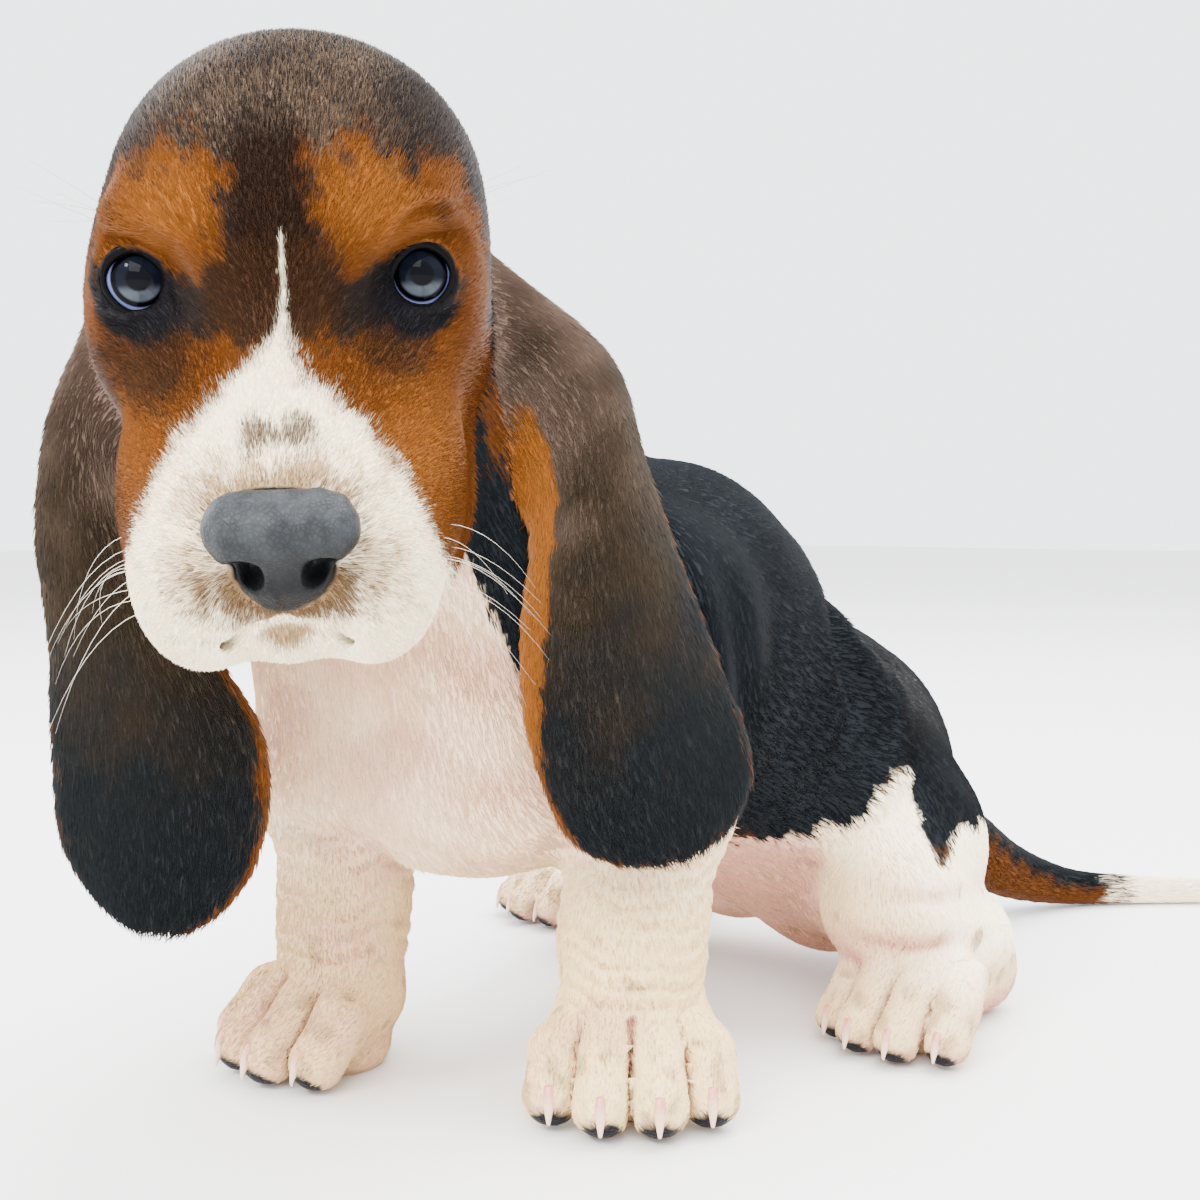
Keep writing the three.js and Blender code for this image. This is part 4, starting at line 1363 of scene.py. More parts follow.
@dataclass
class Markings:
    """Where each colour of the coat lies. On the face the places are given by x in the head's frame and by
    the face's height w."""

    colours: Palette = Palette()

    def face(self, q: Array) -> dict[str, Array]:
        """Masks on the head.

        Args:
            q: points in the head's frame.

        Returns:
            Masks from 0 to 1 by name.
        """
        x, y, z = q.T
        w = face_height(q)
        wob = lumps(q, 9, 3) * 1.1 + lumps(q, 3, 4) * 0.7
        side = x - along(w, (-37, 0), (-29, -0.9), (-22, -1.6), (-15, -0.4), (-11, 0.9), (-5, 1.5), (10, 1.8))
        half = along(w, (-90, 34), (-66, 35), (-57, 32), (-48, 28.5), (-38, 23.5), (-29, 16.5), (-21.7, 8.4),
                     (-18, 4.9), (-15, 2.8), (-11, 1.0), (-7, 0.5), (-3, 0.4), (4, 0.4), (9, 0.2), (11, -3))
        back = y - along(w, (-100, -60), (-84, -16), (-75, 4), (-66, 17), (-57, 26), (-48, 36), (-40, 36),
                         (-30, 20), (-22, 8), (-12, -6), (20, -30))
        blurred = along(w, (-60, 2.6), (-40, 3.6), (-30, 6.0), (-20, 6.4), (-14, 3.4), (-8, 1.4), (0, 0.6))
        white = smooth(-blurred, blurred, np.minimum(half - np.abs(side), back * 0.8) + wob * blurred * 0.12)
        throat = smooth(-62, -68, z + 2 * wob) * smooth(26, 20, y)
        white = np.maximum(white, throat * smooth(-66, -74, w))
        out = np.abs(x + 0.6)

        def spot(at: tuple, half: tuple, edge: tuple, rough: float = 0.1, across: Array = out) -> Array:
            """A soft oval mark: with r how far a place is from its middle, measured by its half sizes, it is
            0 where r is beyond the first number of its edge and 1 within the second."""
            r = np.hypot((across - at[0]) / half[0], (w - at[1]) / half[1])
            return smooth(*edge, r + rough * wob)

        top = along(out, (6, 19), (12, 24.5), (18, 27), (28.7, 23.5), (35, 18), (42, 5)) - w
        inner = out - along(w, (-10, 15), (0, 12.5), (12, 9.5), (22, 8), (30, 11), (36, 20))
        brow = np.minimum(np.minimum(0.35 * top, 0.6 * inner),
                          w - along(out, (10, 5), (15, -1), (22, 2), (40, 4)))
        outer = np.minimum(np.minimum(out - along(w, (-16, 33), (0, 39), (10, 38), (20, 30)), y + 15), 24 - w)
        cheek = np.minimum(np.minimum(-13.5 - w + 0.1 * (out - 10), y + 17 - 0.15 * (w + 20)), z + 76)
        tan = smooth(-3.6, 3.6, np.maximum.reduce([brow, 0.8 * cheek, 0.8 * outer]) + 1.0 * wob)
        stripe = 0.85 * smooth(13, 5, np.abs(x - 0.5)) * smooth(-2, 6, w) * smooth(40, 22, w)
        brown = 0.8 * smooth(20, 9, out) * smooth(-20, -12, w) * smooth(16, 2, w)
        brown = np.maximum(brown, 0.3 * smooth(6, -8, w - 28) * smooth(24, 6, out) * (w > 4))
        # shade: painted shade in the coat's brown, below both eyes and more under the right one, on the far
        # side of the right cheek and low at the back of the face.
        shade = np.maximum(0.65 * spot((25, -15), (9.5, 8.0), (1.4, 0.4)),
                           0.75 * spot((-28, -19), (10, 9), (1.5, 0.5), across=x))
        far_cheek = 0.5 * smooth(-30, -37, x) * smooth(-8, -16, w)
        shade = np.maximum(shade, far_cheek + 0.2 * smooth(8, 0, y) * (w < 0))
        jowl = spot((27, -40), (11, 17), (1.4, 0.3), 0.08)
        light = np.maximum(spot((20, 17), (12, 12), (1.4, 0.2), 0.08), (0.5 + 0.4 * (x > 0)) * jowl)
        rims = np.maximum(spot((29.6, -4.2), (8.2, 8.8), (1.42, 0.78), 0.06),
                          0.6 * spot((22.0, -6.5), (4.4, 5.0), (1.5, 0.4), 0.05))
        rims = rims * smooth(-18, -10, y) * smooth(9, 4, w)
        lobes = np.hypot((np.abs(x - 0.7) - 3.6) / 4.0, (w + 30.2) / 3.6)
        smudge = smooth(1.75, 0.2, np.minimum(lobes, 0.35 + np.hypot(x / 5, (w + 31.0) / 3.2)) + 0.14 * wob)
        hug = NoseForm().leather()(q)
        above = spot((0, -42), (19, 8.5), (1.7, 0.2), across=x)
        below = spot((17, -56), (8, 11), (1.5, 0.2), 0.12, np.abs(x - 1))
        taupe = np.maximum(0.6 * smooth(6.5, 0, hug), smooth(9, 1, hug) * smooth(-50, -58, w))
        edge = w + 64.5 + 0.5 * np.abs(x)
        lip = spot((0, -60), (19, 8), (1.5, 0.2), across=x) * smooth(-2.2, 0.2, edge)
        chin = spot((0, -70.5), (6.5, 3.0), (1.5, 0.3), across=x)
        specks = 0.35 * smooth(0.7, 1.2, lumps(q, 5.5, 9)) * smooth(0.4, 0.9, white) * smooth(18, 30, y)
        specks = specks * smooth(-24, -34, w)
        warm = np.maximum.reduce([0.9 * above, 0.6 * below, specks, 0.9 * chin])
        front = smooth(30, 40, y)
        return {"stripe": stripe, "brown": brown, "tan": tan, "shade": shade, "light": light, "white": white,
                "warm": warm * front, "smudge": smudge * front * 0.8,
                "taupe": np.maximum(0.9 * lip, taupe) * smooth(40, 48, y), "rims": rims}

    def head(self, q: Array, draw: Array) -> Array:
        """Colours of the hair on the head.

        Args:
            q: points in the head's frame.
            draw: a number from 0 to 1 for each point, which picks its hair among those that mix there.

        Returns:
            (n, 3) colours as light.
        """
        c, m = self.colours, self.face(q)
        other = (draw * 7.3) % 1
        dense = smooth(4, 34, face_height(q)) * (0.1 + 0.9 * smooth(34, 18, np.abs(q[:, 0])))
        ticks = (0.34 + 0.06 * lumps(q, 22, 5)) * dense + 0.04
        colour = np.repeat(c.light("crown")[None], len(q), 0)
        colour = dye(colour, c.light("tick"), ticks * smooth(-80, -40, q[:, 1]), other, 0.8)
        tan = tinted(c.light("tan"), c.light("tan_light"), m["light"])
        others = {"shade": "brown", "warm": "freckle", "rims": "eye_skin"}
        for name in ("stripe", "brown", "tan", "shade", "white", "warm", "smudge", "taupe", "rims"):
            tint = tan if name == "tan" else c.light(others.get(name, name))
            colour = dye(colour, tint, m[name], draw, 0.9)
        return colour

    def ear(self, u: Array, v: Array, edge: Array, outside: Array, p: Array, draw: Array,
            rolled: float = 0.0) -> Array:
        """Colours of the hair on an ear: grey-brown at the root, lightened there by a painted sheen, nearly
        black towards the tip, tan inside and along its edges.

        Args:
            u: places from root to tip.
            v: places from front to rear.
            edge: how far inside the outline they are, as a share of the width.
            outside: 1 on the outer face and 0 on the inner face.
            p: points in the maker's frame.
            draw: a number from 0 to 1 for each point.
            rolled: how much of the front margin rolls out and shows its inside, as a share of the width.

        Returns:
            (n, 3) colours as light.
        """
        c = self.colours
        at = u + 0.06 * lumps(p, 20, 6)
        # The root's lighter grey-brown is partly a painted sheen, where the top of the ear catches the light.
        colour = tinted(c.light("ear"), c.light("ear_middle"), smooth(0.02, 0.45, at))
        colour = tinted(colour, c.light("ear_tip"), smooth(0.35, 0.8, at))
        ticks = 0.16 * smooth(1.0, 0.1, u) + 0.02 + 0.05 * lumps(p, 16, 8)
        ticks = ticks + 0.25 * smooth(0.12, 0.03, edge) * smooth(0.3, 1.0, lumps(p, 9, 21))
        colour = dye(colour, c.light("tick") * 0.6, ticks, (draw * 7.3) % 1, 0.9)
        edge = edge + 0.012 * lumps(p, 6, 7)
        rim = smooth(0.03, 0.0, edge) * (0.3 + 0.5 * smooth(0.45, 0.3, v))
        wide = rolled * along(u, (0.2, 1.7), (0.42, 1.1), (0.65, 0.4))
        roll = smooth(wide, wide - 0.06, v + 0.01 * lumps(p, 8, 10)) * (rolled > 0)
        roll = roll * smooth(0.12, 0.22, u) * smooth(0.74, 0.6, u)
        inner = (1 - outside) * smooth(0.95, 0.8, u)
        colour = dye(colour, c.light("tan"), rim, draw)
        colour = dye(colour, c.light("tan_light"), roll, draw)
        return dye(colour, c.light("tan") * 0.7, inner, draw)

    def border(self, p: Array) -> Array:
        """How far a point of the trunk lies above the lower edge of the black saddle, in millimetres.

        Args:
            p: points in the maker's frame.

        Returns:
            Heights above the edge.
        """
        x, y, z = p.T
        leaning = y - 0.333 * np.clip(z - 60, -15, 15)
        left = along(leaning, (-130, 180), (-110, 138), (-95, 100), (-70, 82), (-40, 66), (-7, 57), (7, 58),
                     (16, 60.5), (20, 66), (24, 72.5), (33, 73.5), (34, 64), (35, 50), (38, 48.5), (42, 51),
                     (49, 56), (58, 56.4), (80, 57), (100, 44), (115, 40))
        right = along(y, (-130, 185), (-110, 160), (-95, 120), (-70, 88), (-40, 70), (0, 62), (30, 70),
                      (50, 58), (70, 58), (100, 44), (115, 40))
        edge = left + (right - left) * smooth(8, -8, x)
        front = smooth(-101, -121, y + 0.35 * x) * 60
        return z - edge - front + 1.5 * lumps(p, 9, 11) + 0.8 * lumps(p, 3.5, 12)

    def body(self, p: Array, n: Array, draw: Array) -> Array:
        """Colours of the hair on trunk, neck and legs, with some painted light and shade.

        Args:
            p: points in the maker's frame.
            n: the skin's directions outwards there.
            draw: a number from 0 to 1 for each point.

        Returns:
            (n, 3) colours as light.
        """
        c = self.colours
        # Lower down the white turns cream in front on the left and a darker sand on the right foreleg and
        # towards the rear: the coat's warmer tone, painted darker as painted shade.
        low = smooth(84, 40, p[:, 2]) * smooth(40, 0, p[:, 1])
        low = np.maximum(low, 0.8 * smooth(26, 14, p[:, 2]))
        front = smooth(-30, -60, p[:, 1]) * (1 - low)
        left = smooth(-15, 15, p[:, 0] + 0.3 * p[:, 1] + 21) * smooth(15, -10, p[:, 1])
        colour = tinted(c.light("white"), tinted(c.light("sand"), c.light("cream"), left), low)
        # The front of the chest is flushed pink where skin shows through, painted darker as painted shade.
        colour = tinted(colour, c.light("flush"), front * (0.75 + 0.12 * lumps(p, 26, 22)))
        # Faces that look down under the belly take the pink of its bare skin, painted darker as painted
        # shade.
        under = smooth(0.1, -0.6, n[:, 2]) * smooth(70, 55, p[:, 2]) * smooth(-50, -25, p[:, 1])
        pit = smooth(0.3, 1.2, lumps(p, 30, 14) + 0.4) * 0.4
        colour = tinted(colour, c.light("pink"), np.maximum(0.85 * under, pit * smooth(-40, -80, p[:, 1])))
        spots = smooth(1.0, 1.35, lumps(p, 11, 15)) * smooth(60, 30, p[:, 2]) * 0.75
        spots = np.maximum(spots, 0.75 * smooth(0.5, 1.1, lumps(p, 7, 24)) * smooth(24, 16, p[:, 2]))
        colour = tinted(colour, c.light("freckle"), spots)
        saddle = self.border(p)
        tan = smooth(3.4, 0.6, np.abs(saddle)) * smooth(0.2, 0.9, lumps(p, 24, 16) + 0.3) * 0.5
        # Painted light on the black saddle: a painted sheen on faces that look up in front, painted shade
        # darkening it towards the rump, and lumps of tone.
        painted_sheen = 0.5 * smooth(0.1, 0.8, n[:, 2]) * smooth(50, 10, p[:, 1])
        painted_light_and_tone = 1 - 0.5 * smooth(15, 55, p[:, 1]) + painted_sheen + 0.15 * lumps(p, 30, 23)
        black = c.light("black") * painted_light_and_tone[:, None]
        colour = dye(colour, black, smooth(-2.0, 2.0, saddle), draw, 0.3)
        nape = np.linalg.norm((p - [24, -89, 168]) / [14, 10, 13], axis=1)
        nape = smooth(1.4, 0.5, nape + 0.2 * lumps(p, 7, 25)) * 0.7
        return dye(colour, c.light("tan") * 0.8, np.maximum(tan, nape), draw)

    def tail(self, t: Array, height: Array, p: Array, draw: Array) -> Array:
        """Colours of the hair on the tail: black above, tan beneath, white at the end.

        Args:
            t: places from root to tip.
            height: how far above the tail's middle line, over its radius.
            p: points in the maker's frame.
            draw: a number from 0 to 1 for each point.

        Returns:
            (n, 3) colours as light.
        """
        c = self.colours
        top = smooth(-0.25, 0.25, height + 0.15 * lumps(p, 6, 18) - 0.15 + (draw - 0.5) * 0.3)
        tip = smooth(0.70, 0.76, t + 0.02 * lumps(p, 7, 19) + (draw - 0.5) * 0.05)
        return tinted(tinted(c.light("tan") * 0.75, c.light("black"), top), c.light("white"), tip)


# The coat.


class Part(Enum):
    """The parts that a place on the skin can belong to, with their rectangle on the flat map of the skin:
    left, bottom, width and height."""

    HEAD = (0.52, 0.0, 0.48, 0.24)
    EAR_LEFT = (0.0, 0.70, 0.40, 0.30)
    EAR_RIGHT = (0.40, 0.70, 0.40, 0.30)
    TRUNK = (0.0, 0.0, 0.52, 0.40)
    FORELEG_LEFT = (0.0, 0.40, 0.25, 0.30)
    FORELEG_RIGHT = (0.25, 0.40, 0.25, 0.30)
    HINDLEG_LEFT = (0.50, 0.40, 0.25, 0.30)
    HINDLEG_RIGHT = (0.75, 0.40, 0.25, 0.30)
    TAIL = (0.80, 0.70, 0.20, 0.30)


PARTS = tuple(Part)
EAR_PARTS = {Part.EAR_LEFT: EARS[0], Part.EAR_RIGHT: EARS[1]}
LEG_PARTS = {Part.FORELEG_LEFT: LEGS[0], Part.FORELEG_RIGHT: LEGS[1],
             Part.HINDLEG_LEFT: LEGS[2], Part.HINDLEG_RIGHT: LEGS[3]}


@dataclass
class BodyMap:
    """Tells for any place on the skin which part it belongs to, how its hair lies, where it is on the flat
    map and what colour its hair has."""

    skin: SkinForm
    marks: Markings
    ear_lead: float = 1.0
    map_margin: float = 0.006

    def __post_init__(self) -> None:
        """Prepares the tables of the ears and of the tail."""
        self.tables = {part: ear.table() for part, ear in EAR_PARTS.items()}
        self.tail_at = np.linspace(0, 1, 240)
        self.tail_line, self.tail_radius = self.skin.tail.line(self.tail_at)

    def gaps(self, p: Array) -> Array:
        """Distance from each place to each part, less a lead of the ears where they touch the head.

        Args:
            p: (n, 3) points in the maker's frame.

        Returns:
            (n, parts) distances.
        """
        skin = self.skin
        shapes = {Part.HEAD: skin.head_shape, Part.TRUNK: skin.body_shape, Part.TAIL: skin.tail_shape}
        shapes |= {part: skin.ear_shapes[ear.name] for part, ear in EAR_PARTS.items()}
        shapes |= {part: skin.leg_shapes[leg.name] for part, leg in LEG_PARTS.items()}
        return np.stack([shapes[part](p) - self.ear_lead * (part in EAR_PARTS) for part in PARTS], 1)

    def on_ear(self, part: Part, p: Array, n: Array) -> tuple[Array, Array, Array, Array, Array]:
        """Reads an ear at some places.

        Args:
            part: which ear.
            p: points in the maker's frame.
            n: the skin's directions outwards there.

        Returns:
            u, v, how far inside the outline as a share of the width, 1 on the outer face and 0 on the inner
            one, and the direction towards the tip.
        """
        points, du, dv = self.tables[part]
        u, v = EAR_PARTS[part].find(p, self.tables[part])
        edge = (1 - EAR_PARTS[part].trim(u, v)[2]) / 2
        i = (u * (points.shape[0] - 1)).round().astype(int)
        j = (v * (points.shape[1] - 1)).round().astype(int)
        side = HEAD.matrix[0] * (1 if part is Part.EAR_LEFT else -1)
        across = np.cross(du[i, j], dv[i, j])
        whole = np.cross(du.mean((0, 1)), dv.mean((0, 1)))
        across = across * np.sign(whole @ side)
        return u, v, edge, ((across * n).sum(1) > 0).astype(float), unit(du[i, j])

    def on_tail(self, p: Array) -> tuple[Array, Array, Array]:
        """Reads the tail at some places.

        Args:
            p: points in the maker's frame.

        Returns:
            The place along it, the height over its middle line by its radius, and the direction to the tip.
        """
        near = np.empty(len(p), int)
        for rows in batches(len(p)):
            near[rows] = np.linalg.norm(p[rows, None, :] - self.tail_line[None], axis=2).argmin(1)
        ahead = unit(np.gradient(self.tail_line, axis=0))[near]
        return self.tail_at[near], (p[:, 2] - self.tail_line[near, 2]) / self.tail_radius[near], ahead

    def lie(self, p: Array, n: Array) -> Array:
        """The way the hair lies: the ways of the parts mixed by how near each part is, laid on the skin.

        Args:
            p: points in the maker's frame.
            n: the skin's directions outwards there.

        Returns:
            (n, 3) directions of length 1.
        """
        gaps = self.gaps(p)
        weight = np.exp(-(gaps - gaps.min(1, keepdims=True)) / 3.0)
        q = HEAD.read(p)
        total = np.zeros_like(p)
        for i, part in enumerate(PARTS):
            w = weight[:, i]
            here = np.flatnonzero(w > 0.02)
            if not len(here):
                continue
            if part is Part.HEAD:
                away = unit(q[here] - np.array([0.0, 76.0, -30.0]))
                droop = smooth(-25, -50, q[here, 2]) * smooth(-20, 10, q[here, 1])
                away = unit(away + droop[:, None] * np.array([0, -0.3, -0.9]))
                way = HEAD.turn_out(away)
            elif part in EAR_PARTS:
                way = self.on_ear(part, p[here], n[here])[4]
            elif part is Part.TAIL:
                way = self.on_tail(p[here])[2]
            elif part in LEG_PARTS:
                axes = LEG_PARTS[part].paw.axes
                low = smooth(34, 14, p[here, 2])[:, None]
                way = np.array([0, 0.12, -1.0]) * (1 - low) + (axes.matrix[1] + [0, 0, -0.5]) * low
            else:
                front = smooth(-70, -105, p[here, 1])[:, None]
                way = np.array([0, 1.0, -0.45]) * (1 - front) + np.array([0, 0.25, -1.0]) * front
                rump = smooth(60, 100, p[here, 1])[:, None]
                way = way * (1 - rump) + np.array([0, 0.5, -1.0]) * rump
            total[here] += unit(way) * w[here, None]
        total -= (total * n).sum(1, keepdims=True) * n
        return unit(total)

    def flat(self, p: Array, n: Array) -> Array:
        """Where each place lies on the flat map of the skin: the head as a front and a back disc of equal
        area, each ear as its sheet with one half of its rectangle for each face, trunk, legs and tail
        rolled out round their length.

        Args:
            p: points in the maker's frame.
            n: the skin's directions outwards there.

        Returns:
            (n, 2) places from 0 to 1.
        """
        owner = self.gaps(p).argmin(1)
        out = np.zeros((len(p), 2))
        for i, part in enumerate(PARTS):
            here = np.flatnonzero(owner == i)
            if not len(here):
                continue
            a, b = self.flat_part(part, p[here], n[here])
            left, low, wide, high = part.value
            margin = self.map_margin
            out[here, 0] = left + margin + (wide - 2 * margin) * np.clip(a, 0, 1)
            out[here, 1] = low + margin + (high - 2 * margin) * np.clip(b, 0, 1)
        return out

    def flat_part(self, part: Part, p: Array, n: Array) -> tuple[Array, Array]:
        """Where places of one part lie in its own rectangle of the flat map.

        Args:
            part: the part.
            p: points in the maker's frame.
            n: the skin's directions outwards there.

        Returns:
            Places across and up the rectangle, from 0 to 1.
        """
        if part is Part.HEAD:
            d = unit(HEAD.read(p) - np.array([0.0, 0.0, -15.0]))
            back = d[:, 1] < 0
            angle = np.arccos(np.clip(np.abs(d[:, 1]), 0, 1))
            r = math.sqrt(2) * np.sin(angle / 2) / np.maximum(np.hypot(d[:, 0], d[:, 2]), 1e-6)
            a = 0.25 + 0.245 * d[:, 0] * r + 0.5 * back
            return a, 0.5 + 0.49 * d[:, 2] * r
        if part in EAR_PARTS:
            u, v, _, outside, _ = self.on_ear(part, p, n)
            return 0.005 + 0.49 * v + 0.5 * outside, u
        if part is Part.TAIL:
            t, height, _ = self.on_tail(p)
            return 0.25 + 0.2 * height + 0.5 * (n[:, 0] > 0), t
        if part in LEG_PARTS:
            q = LEG_PARTS[part].paw.axes.read(p)
            turn = np.arctan2(q[:, 0], q[:, 1] + 6) / (2 * math.pi) + 0.5
            return turn, (q[:, 2] - 0.8 * q[:, 1] + 40) / 190
        middle = along(p[:, 1], (-80, 120), (-20, 104), (36, 73), (74, 50))
        turn = np.arctan2(p[:, 0] + 2, p[:, 2] - middle) / (2 * math.pi) + 0.5
        return turn, (p[:, 1] + 160) / 275

    def colour(self, p: Array, n: Array, draw: Array) -> Array:
        """The colour of the hair at each place.

        Args:
            p: points in the maker's frame.
            n: the skin's directions outwards there.
            draw: a number from 0 to 1 for each point.

        Returns:
            (n, 3) colours as light.
        """
        owner = self.gaps(p).argmin(1)
        out = self.marks.body(p, n, draw)
        at_head = np.flatnonzero(owner == PARTS.index(Part.HEAD))
        out[at_head] = self.marks.head(HEAD.read(p[at_head]), draw[at_head])
        for part in EAR_PARTS:
            here = np.flatnonzero(owner == PARTS.index(part))
            u, v, edge, outside, _ = self.on_ear(part, p[here], n[here])
            out[here] = self.marks.ear(u, v, edge, outside, p[here], draw[here], EAR_PARTS[part].rolled)
        here = np.flatnonzero((owner == PARTS.index(Part.TAIL)) & (p[:, 1] > 118))
        t, height, _ = self.on_tail(p[here])
        out[here] = self.marks.tail(t, height, p[here], draw[here])
        # The clefts between the toes take the pink skin there, painted darker as the shade in the clefts.
        return dye(out, self.marks.colours.light("toe_gap"), clefts(p) * 0.75, draw)

    def bare(self, p: Array) -> Array:
        """Where no hair grows: the leather of the nose, the rims of the eyes, the line of the mouth and the
        pads of the toes.

        Args:
            p: points in the maker's frame.

        Returns:
            A mask from 0 to 1.
        """
        q = HEAD.read(p)
        eye = np.hypot((np.abs(q[:, 0] - 0.4) - 30.9) / 7.7, (face_height(q) + 0.5) / 7.5)
        bare = smooth(1.1, 0.95, eye) * (q[:, 1] > -14)
        leather = NoseForm().leather()(q)
        bare = np.maximum(bare, smooth(1.2, 0.4, leather) * (q[:, 1] > 40))
        # The line of the mouth is bare and takes the dark of the lids: partly the lip's own dark colour and
        # partly painted shade in its crease.
        near = np.flatnonzero((q[:, 1] > 40) & (q[:, 2] < -35))
        line = HeadForm().mouth()(q[near]) + 0.06 * np.abs(q[near, 0])
        bare[near] = np.maximum(bare[near], smooth(1.0, 0.2, line))
        return np.maximum(bare, self.pads(p))

    def pads(self, p: Array) -> Array:
        """Where the dark pads of the toes are.

        Args:
            p: points in the maker's frame.

        Returns:
            A mask from 0 to 1.
        """
        total = np.zeros(len(p))
        for leg in LEGS:
            q = leg.paw.axes.read(p)
            s = leg.paw.size
            for side, reach in zip(leg.paw.sides, leg.paw.reach):
                gap = q - np.array([side * 1.04 * s, (reach + 3.5) * s, 2.2 * s])
                far = np.linalg.norm(gap / [1.0, 1.0, 1.1], axis=1)
                total = np.maximum(total, smooth(6.0 * s, 4.8 * s, far))
        return total


def store_colour(piece: bpy.types.Object, colours: Array, name: str = "coat") -> None:
    """Stores a colour for each point of a piece.

    Args:
        piece: a mesh object.
        colours: (n, 3) light.
        name: the attribute's name.
    """
    rgba = np.ones((len(colours), 4), np.float32)
    rgba[:, :3] = np.clip(colours, 0, 1)
    piece.data.attributes.new(name, "FLOAT_COLOR", "POINT").data.foreach_set("color", rgba.ravel())


def store_number(piece: bpy.types.Object, values: Array, name: str) -> None:
    """Stores a number for each point of a piece."""
    layer = piece.data.attributes.new(name, "FLOAT", "POINT")
    layer.data.foreach_set("value", values.astype(np.float32))


def store_map(piece: bpy.types.Object, places: Array) -> None:
    """Gives a piece its flat map.

    Args:
        piece: a mesh object.
        places: (corners, 2) places from 0 to 1, in the order of the faces' corners.
    """
    piece.data.uv_layers.new(name="OFBake").data.foreach_set("uv", places.astype(np.float32).ravel())


@dataclass(frozen=True)
class FurFinish:
    """Short hair: soft, a little glossy where it is dark, with fine streaks of light and dark."""

    streaks: float = 2600.0
    rough_dark: float = 0.42
    rough_light: float = 0.72

    def build(self) -> bpy.types.Material:
        """The material, which reads the hair's own colour from the attribute coat."""
        sheet = Sheet("fur")
        colour = sheet.attribute("coat")
        bright = sheet.wire("ShaderNodeRGBToBW", 0, None, {0: colour})
        fine = sheet.noise(self.streaks, 2.0)
        tint = sheet.dim(colour, 0.82 + 0.36 * fine)
        rough = self.rough_dark + (self.rough_light - self.rough_dark) * bright.step(0.02, 0.5)
        return sheet.finish(Base_Color=tint, Roughness=rough, Specular_IOR_Level=0.09)


@dataclass(frozen=True)
class SkinFinish:
    """Skin under the coat: the coat's colours with the grain of fine hair, bare skin darker and smoother."""

    hairs: float = 1500
    pores: float = 1400.0
    depth: float = 0.0004

    def build(self) -> bpy.types.Material:
        """The material, which reads the attributes coat and bare."""
        sheet = Sheet("skin")
        bare = sheet.attribute("bare", "Fac")
        grain = sheet.noise(self.hairs, 3.0)
        pores = sheet.wire("ShaderNodeTexVoronoi", "Distance", None,
                           {"Vector": sheet.place(), "Scale": self.pores})
        height = grain * (1 - bare) + (1 - pores) * bare
        rough = 0.7 - 0.32 * bare + 0.1 * (grain - 0.5)
        tint = sheet.dim(sheet.attribute("coat"), 0.8 + 0.4 * grain)
        return sheet.finish(Base_Color=tint, Roughness=rough, Specular_IOR_Level=0.04,
                            Normal=sheet.bump(height, self.depth, 0.6))


def diagonals_crossed(corners: Array) -> Array:
    """Directions outwards of four-cornered faces, each as long as twice the face's area."""
    return np.cross(corners[:, 2] - corners[:, 0], corners[:, 3] - corners[:, 1])


@dataclass
class SkinPiece:
    """The one skin of the whole puppy."""

    skin: SkinForm
    body: BodyMap
    fine: float = 1.0

    def grid(self) -> Grid:
        """Where the distance is read, closer on the head and in front than behind."""
        f = self.fine
        return Grid(Grid.places((-141, -45, 2.3 * f), (-45, 100, 1.48 * f)),
                    Grid.places((-192, -95, 1.31 * f), (-95, -50, 1.9 * f), (-50, 250, 2.75 * f)),
                    Grid.places((-4, 40, 1.6 * f), (40, 110, 2.15 * f), (110, 262, 1.45 * f)))

    def build(self) -> bpy.types.Object:
        """Casts the net and stores the colours.

        Returns:
            The piece. Its points, faces and outward directions are kept for the coat.
        """
        self.points, self.faces = self.grid().net(self.skin.distance)
        self.points[:, 2] = np.maximum(self.points[:, 2], 0.02)
        normal = diagonals_crossed(self.points[self.faces])
        self.normals = np.zeros_like(self.points)
        for i in range(4):
            for axis in range(3):
                self.normals[:, axis] += np.bincount(self.faces[:, i], normal[:, axis], len(self.points))
        self.normals = unit(self.normals)
        piece = make_object("skin", self.points, self.faces)
        draw = np.random.default_rng(SEED).uniform(0.35, 0.65, len(self.points))
        bare = self.body.bare(self.points)
        c = self.body.marks.colours
        tint = np.where(self.body.pads(self.points)[:, None] > 0.05, c.light("pad"), c.light("lid"))
        store_colour(piece, tinted(self.body.colour(self.points, self.normals, draw), tint, bare))
        store_number(piece, bare, "bare")
        piece.data.materials.append(SkinFinish().build())
        sides = ("left", "right")
        legs = [f"{name}_{side}" for name in ("foreleg", "forepaw", "hindleg", "hindpaw") for side in sides]
        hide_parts("head", "neck", "torso", "tail", "ear_left", "ear_right", *legs)
        return piece


@dataclass(frozen=True)
class Cut:
    """How the hair of one region is cut: length and root width in millimetres, lift off the skin in
    degrees and tufts to the square millimetre."""

    length: float
    width: float
    lift: float
    close: float


# A tuft's points are left and right of its root, the ridge over the root, and the tip. Its faces, the
# painted shade and light of each point (the root points darker, as if shaded by the coat, and the tip a
# little lighter), and the corner of the flat map that its faces' corners take, as a share of the whole map.
TUFT_FACES = np.array([[0, 1, 2], [0, 3, 1], [0, 2, 3], [1, 3, 2]])
TUFT_SHADE = np.array([0.88, 0.88, 0.92, 1.06])
TUFT_PATCH = 0.003 * np.array([[0, 0], [0.9, 0], [0.3, 0.12], [1, 1], [1, 0.1], [0.1, 1],
                               [0, 0], [0.3, 0.12], [0, 0.9], [0.9, 0], [0, 0.9], [0.3, 0.12]])


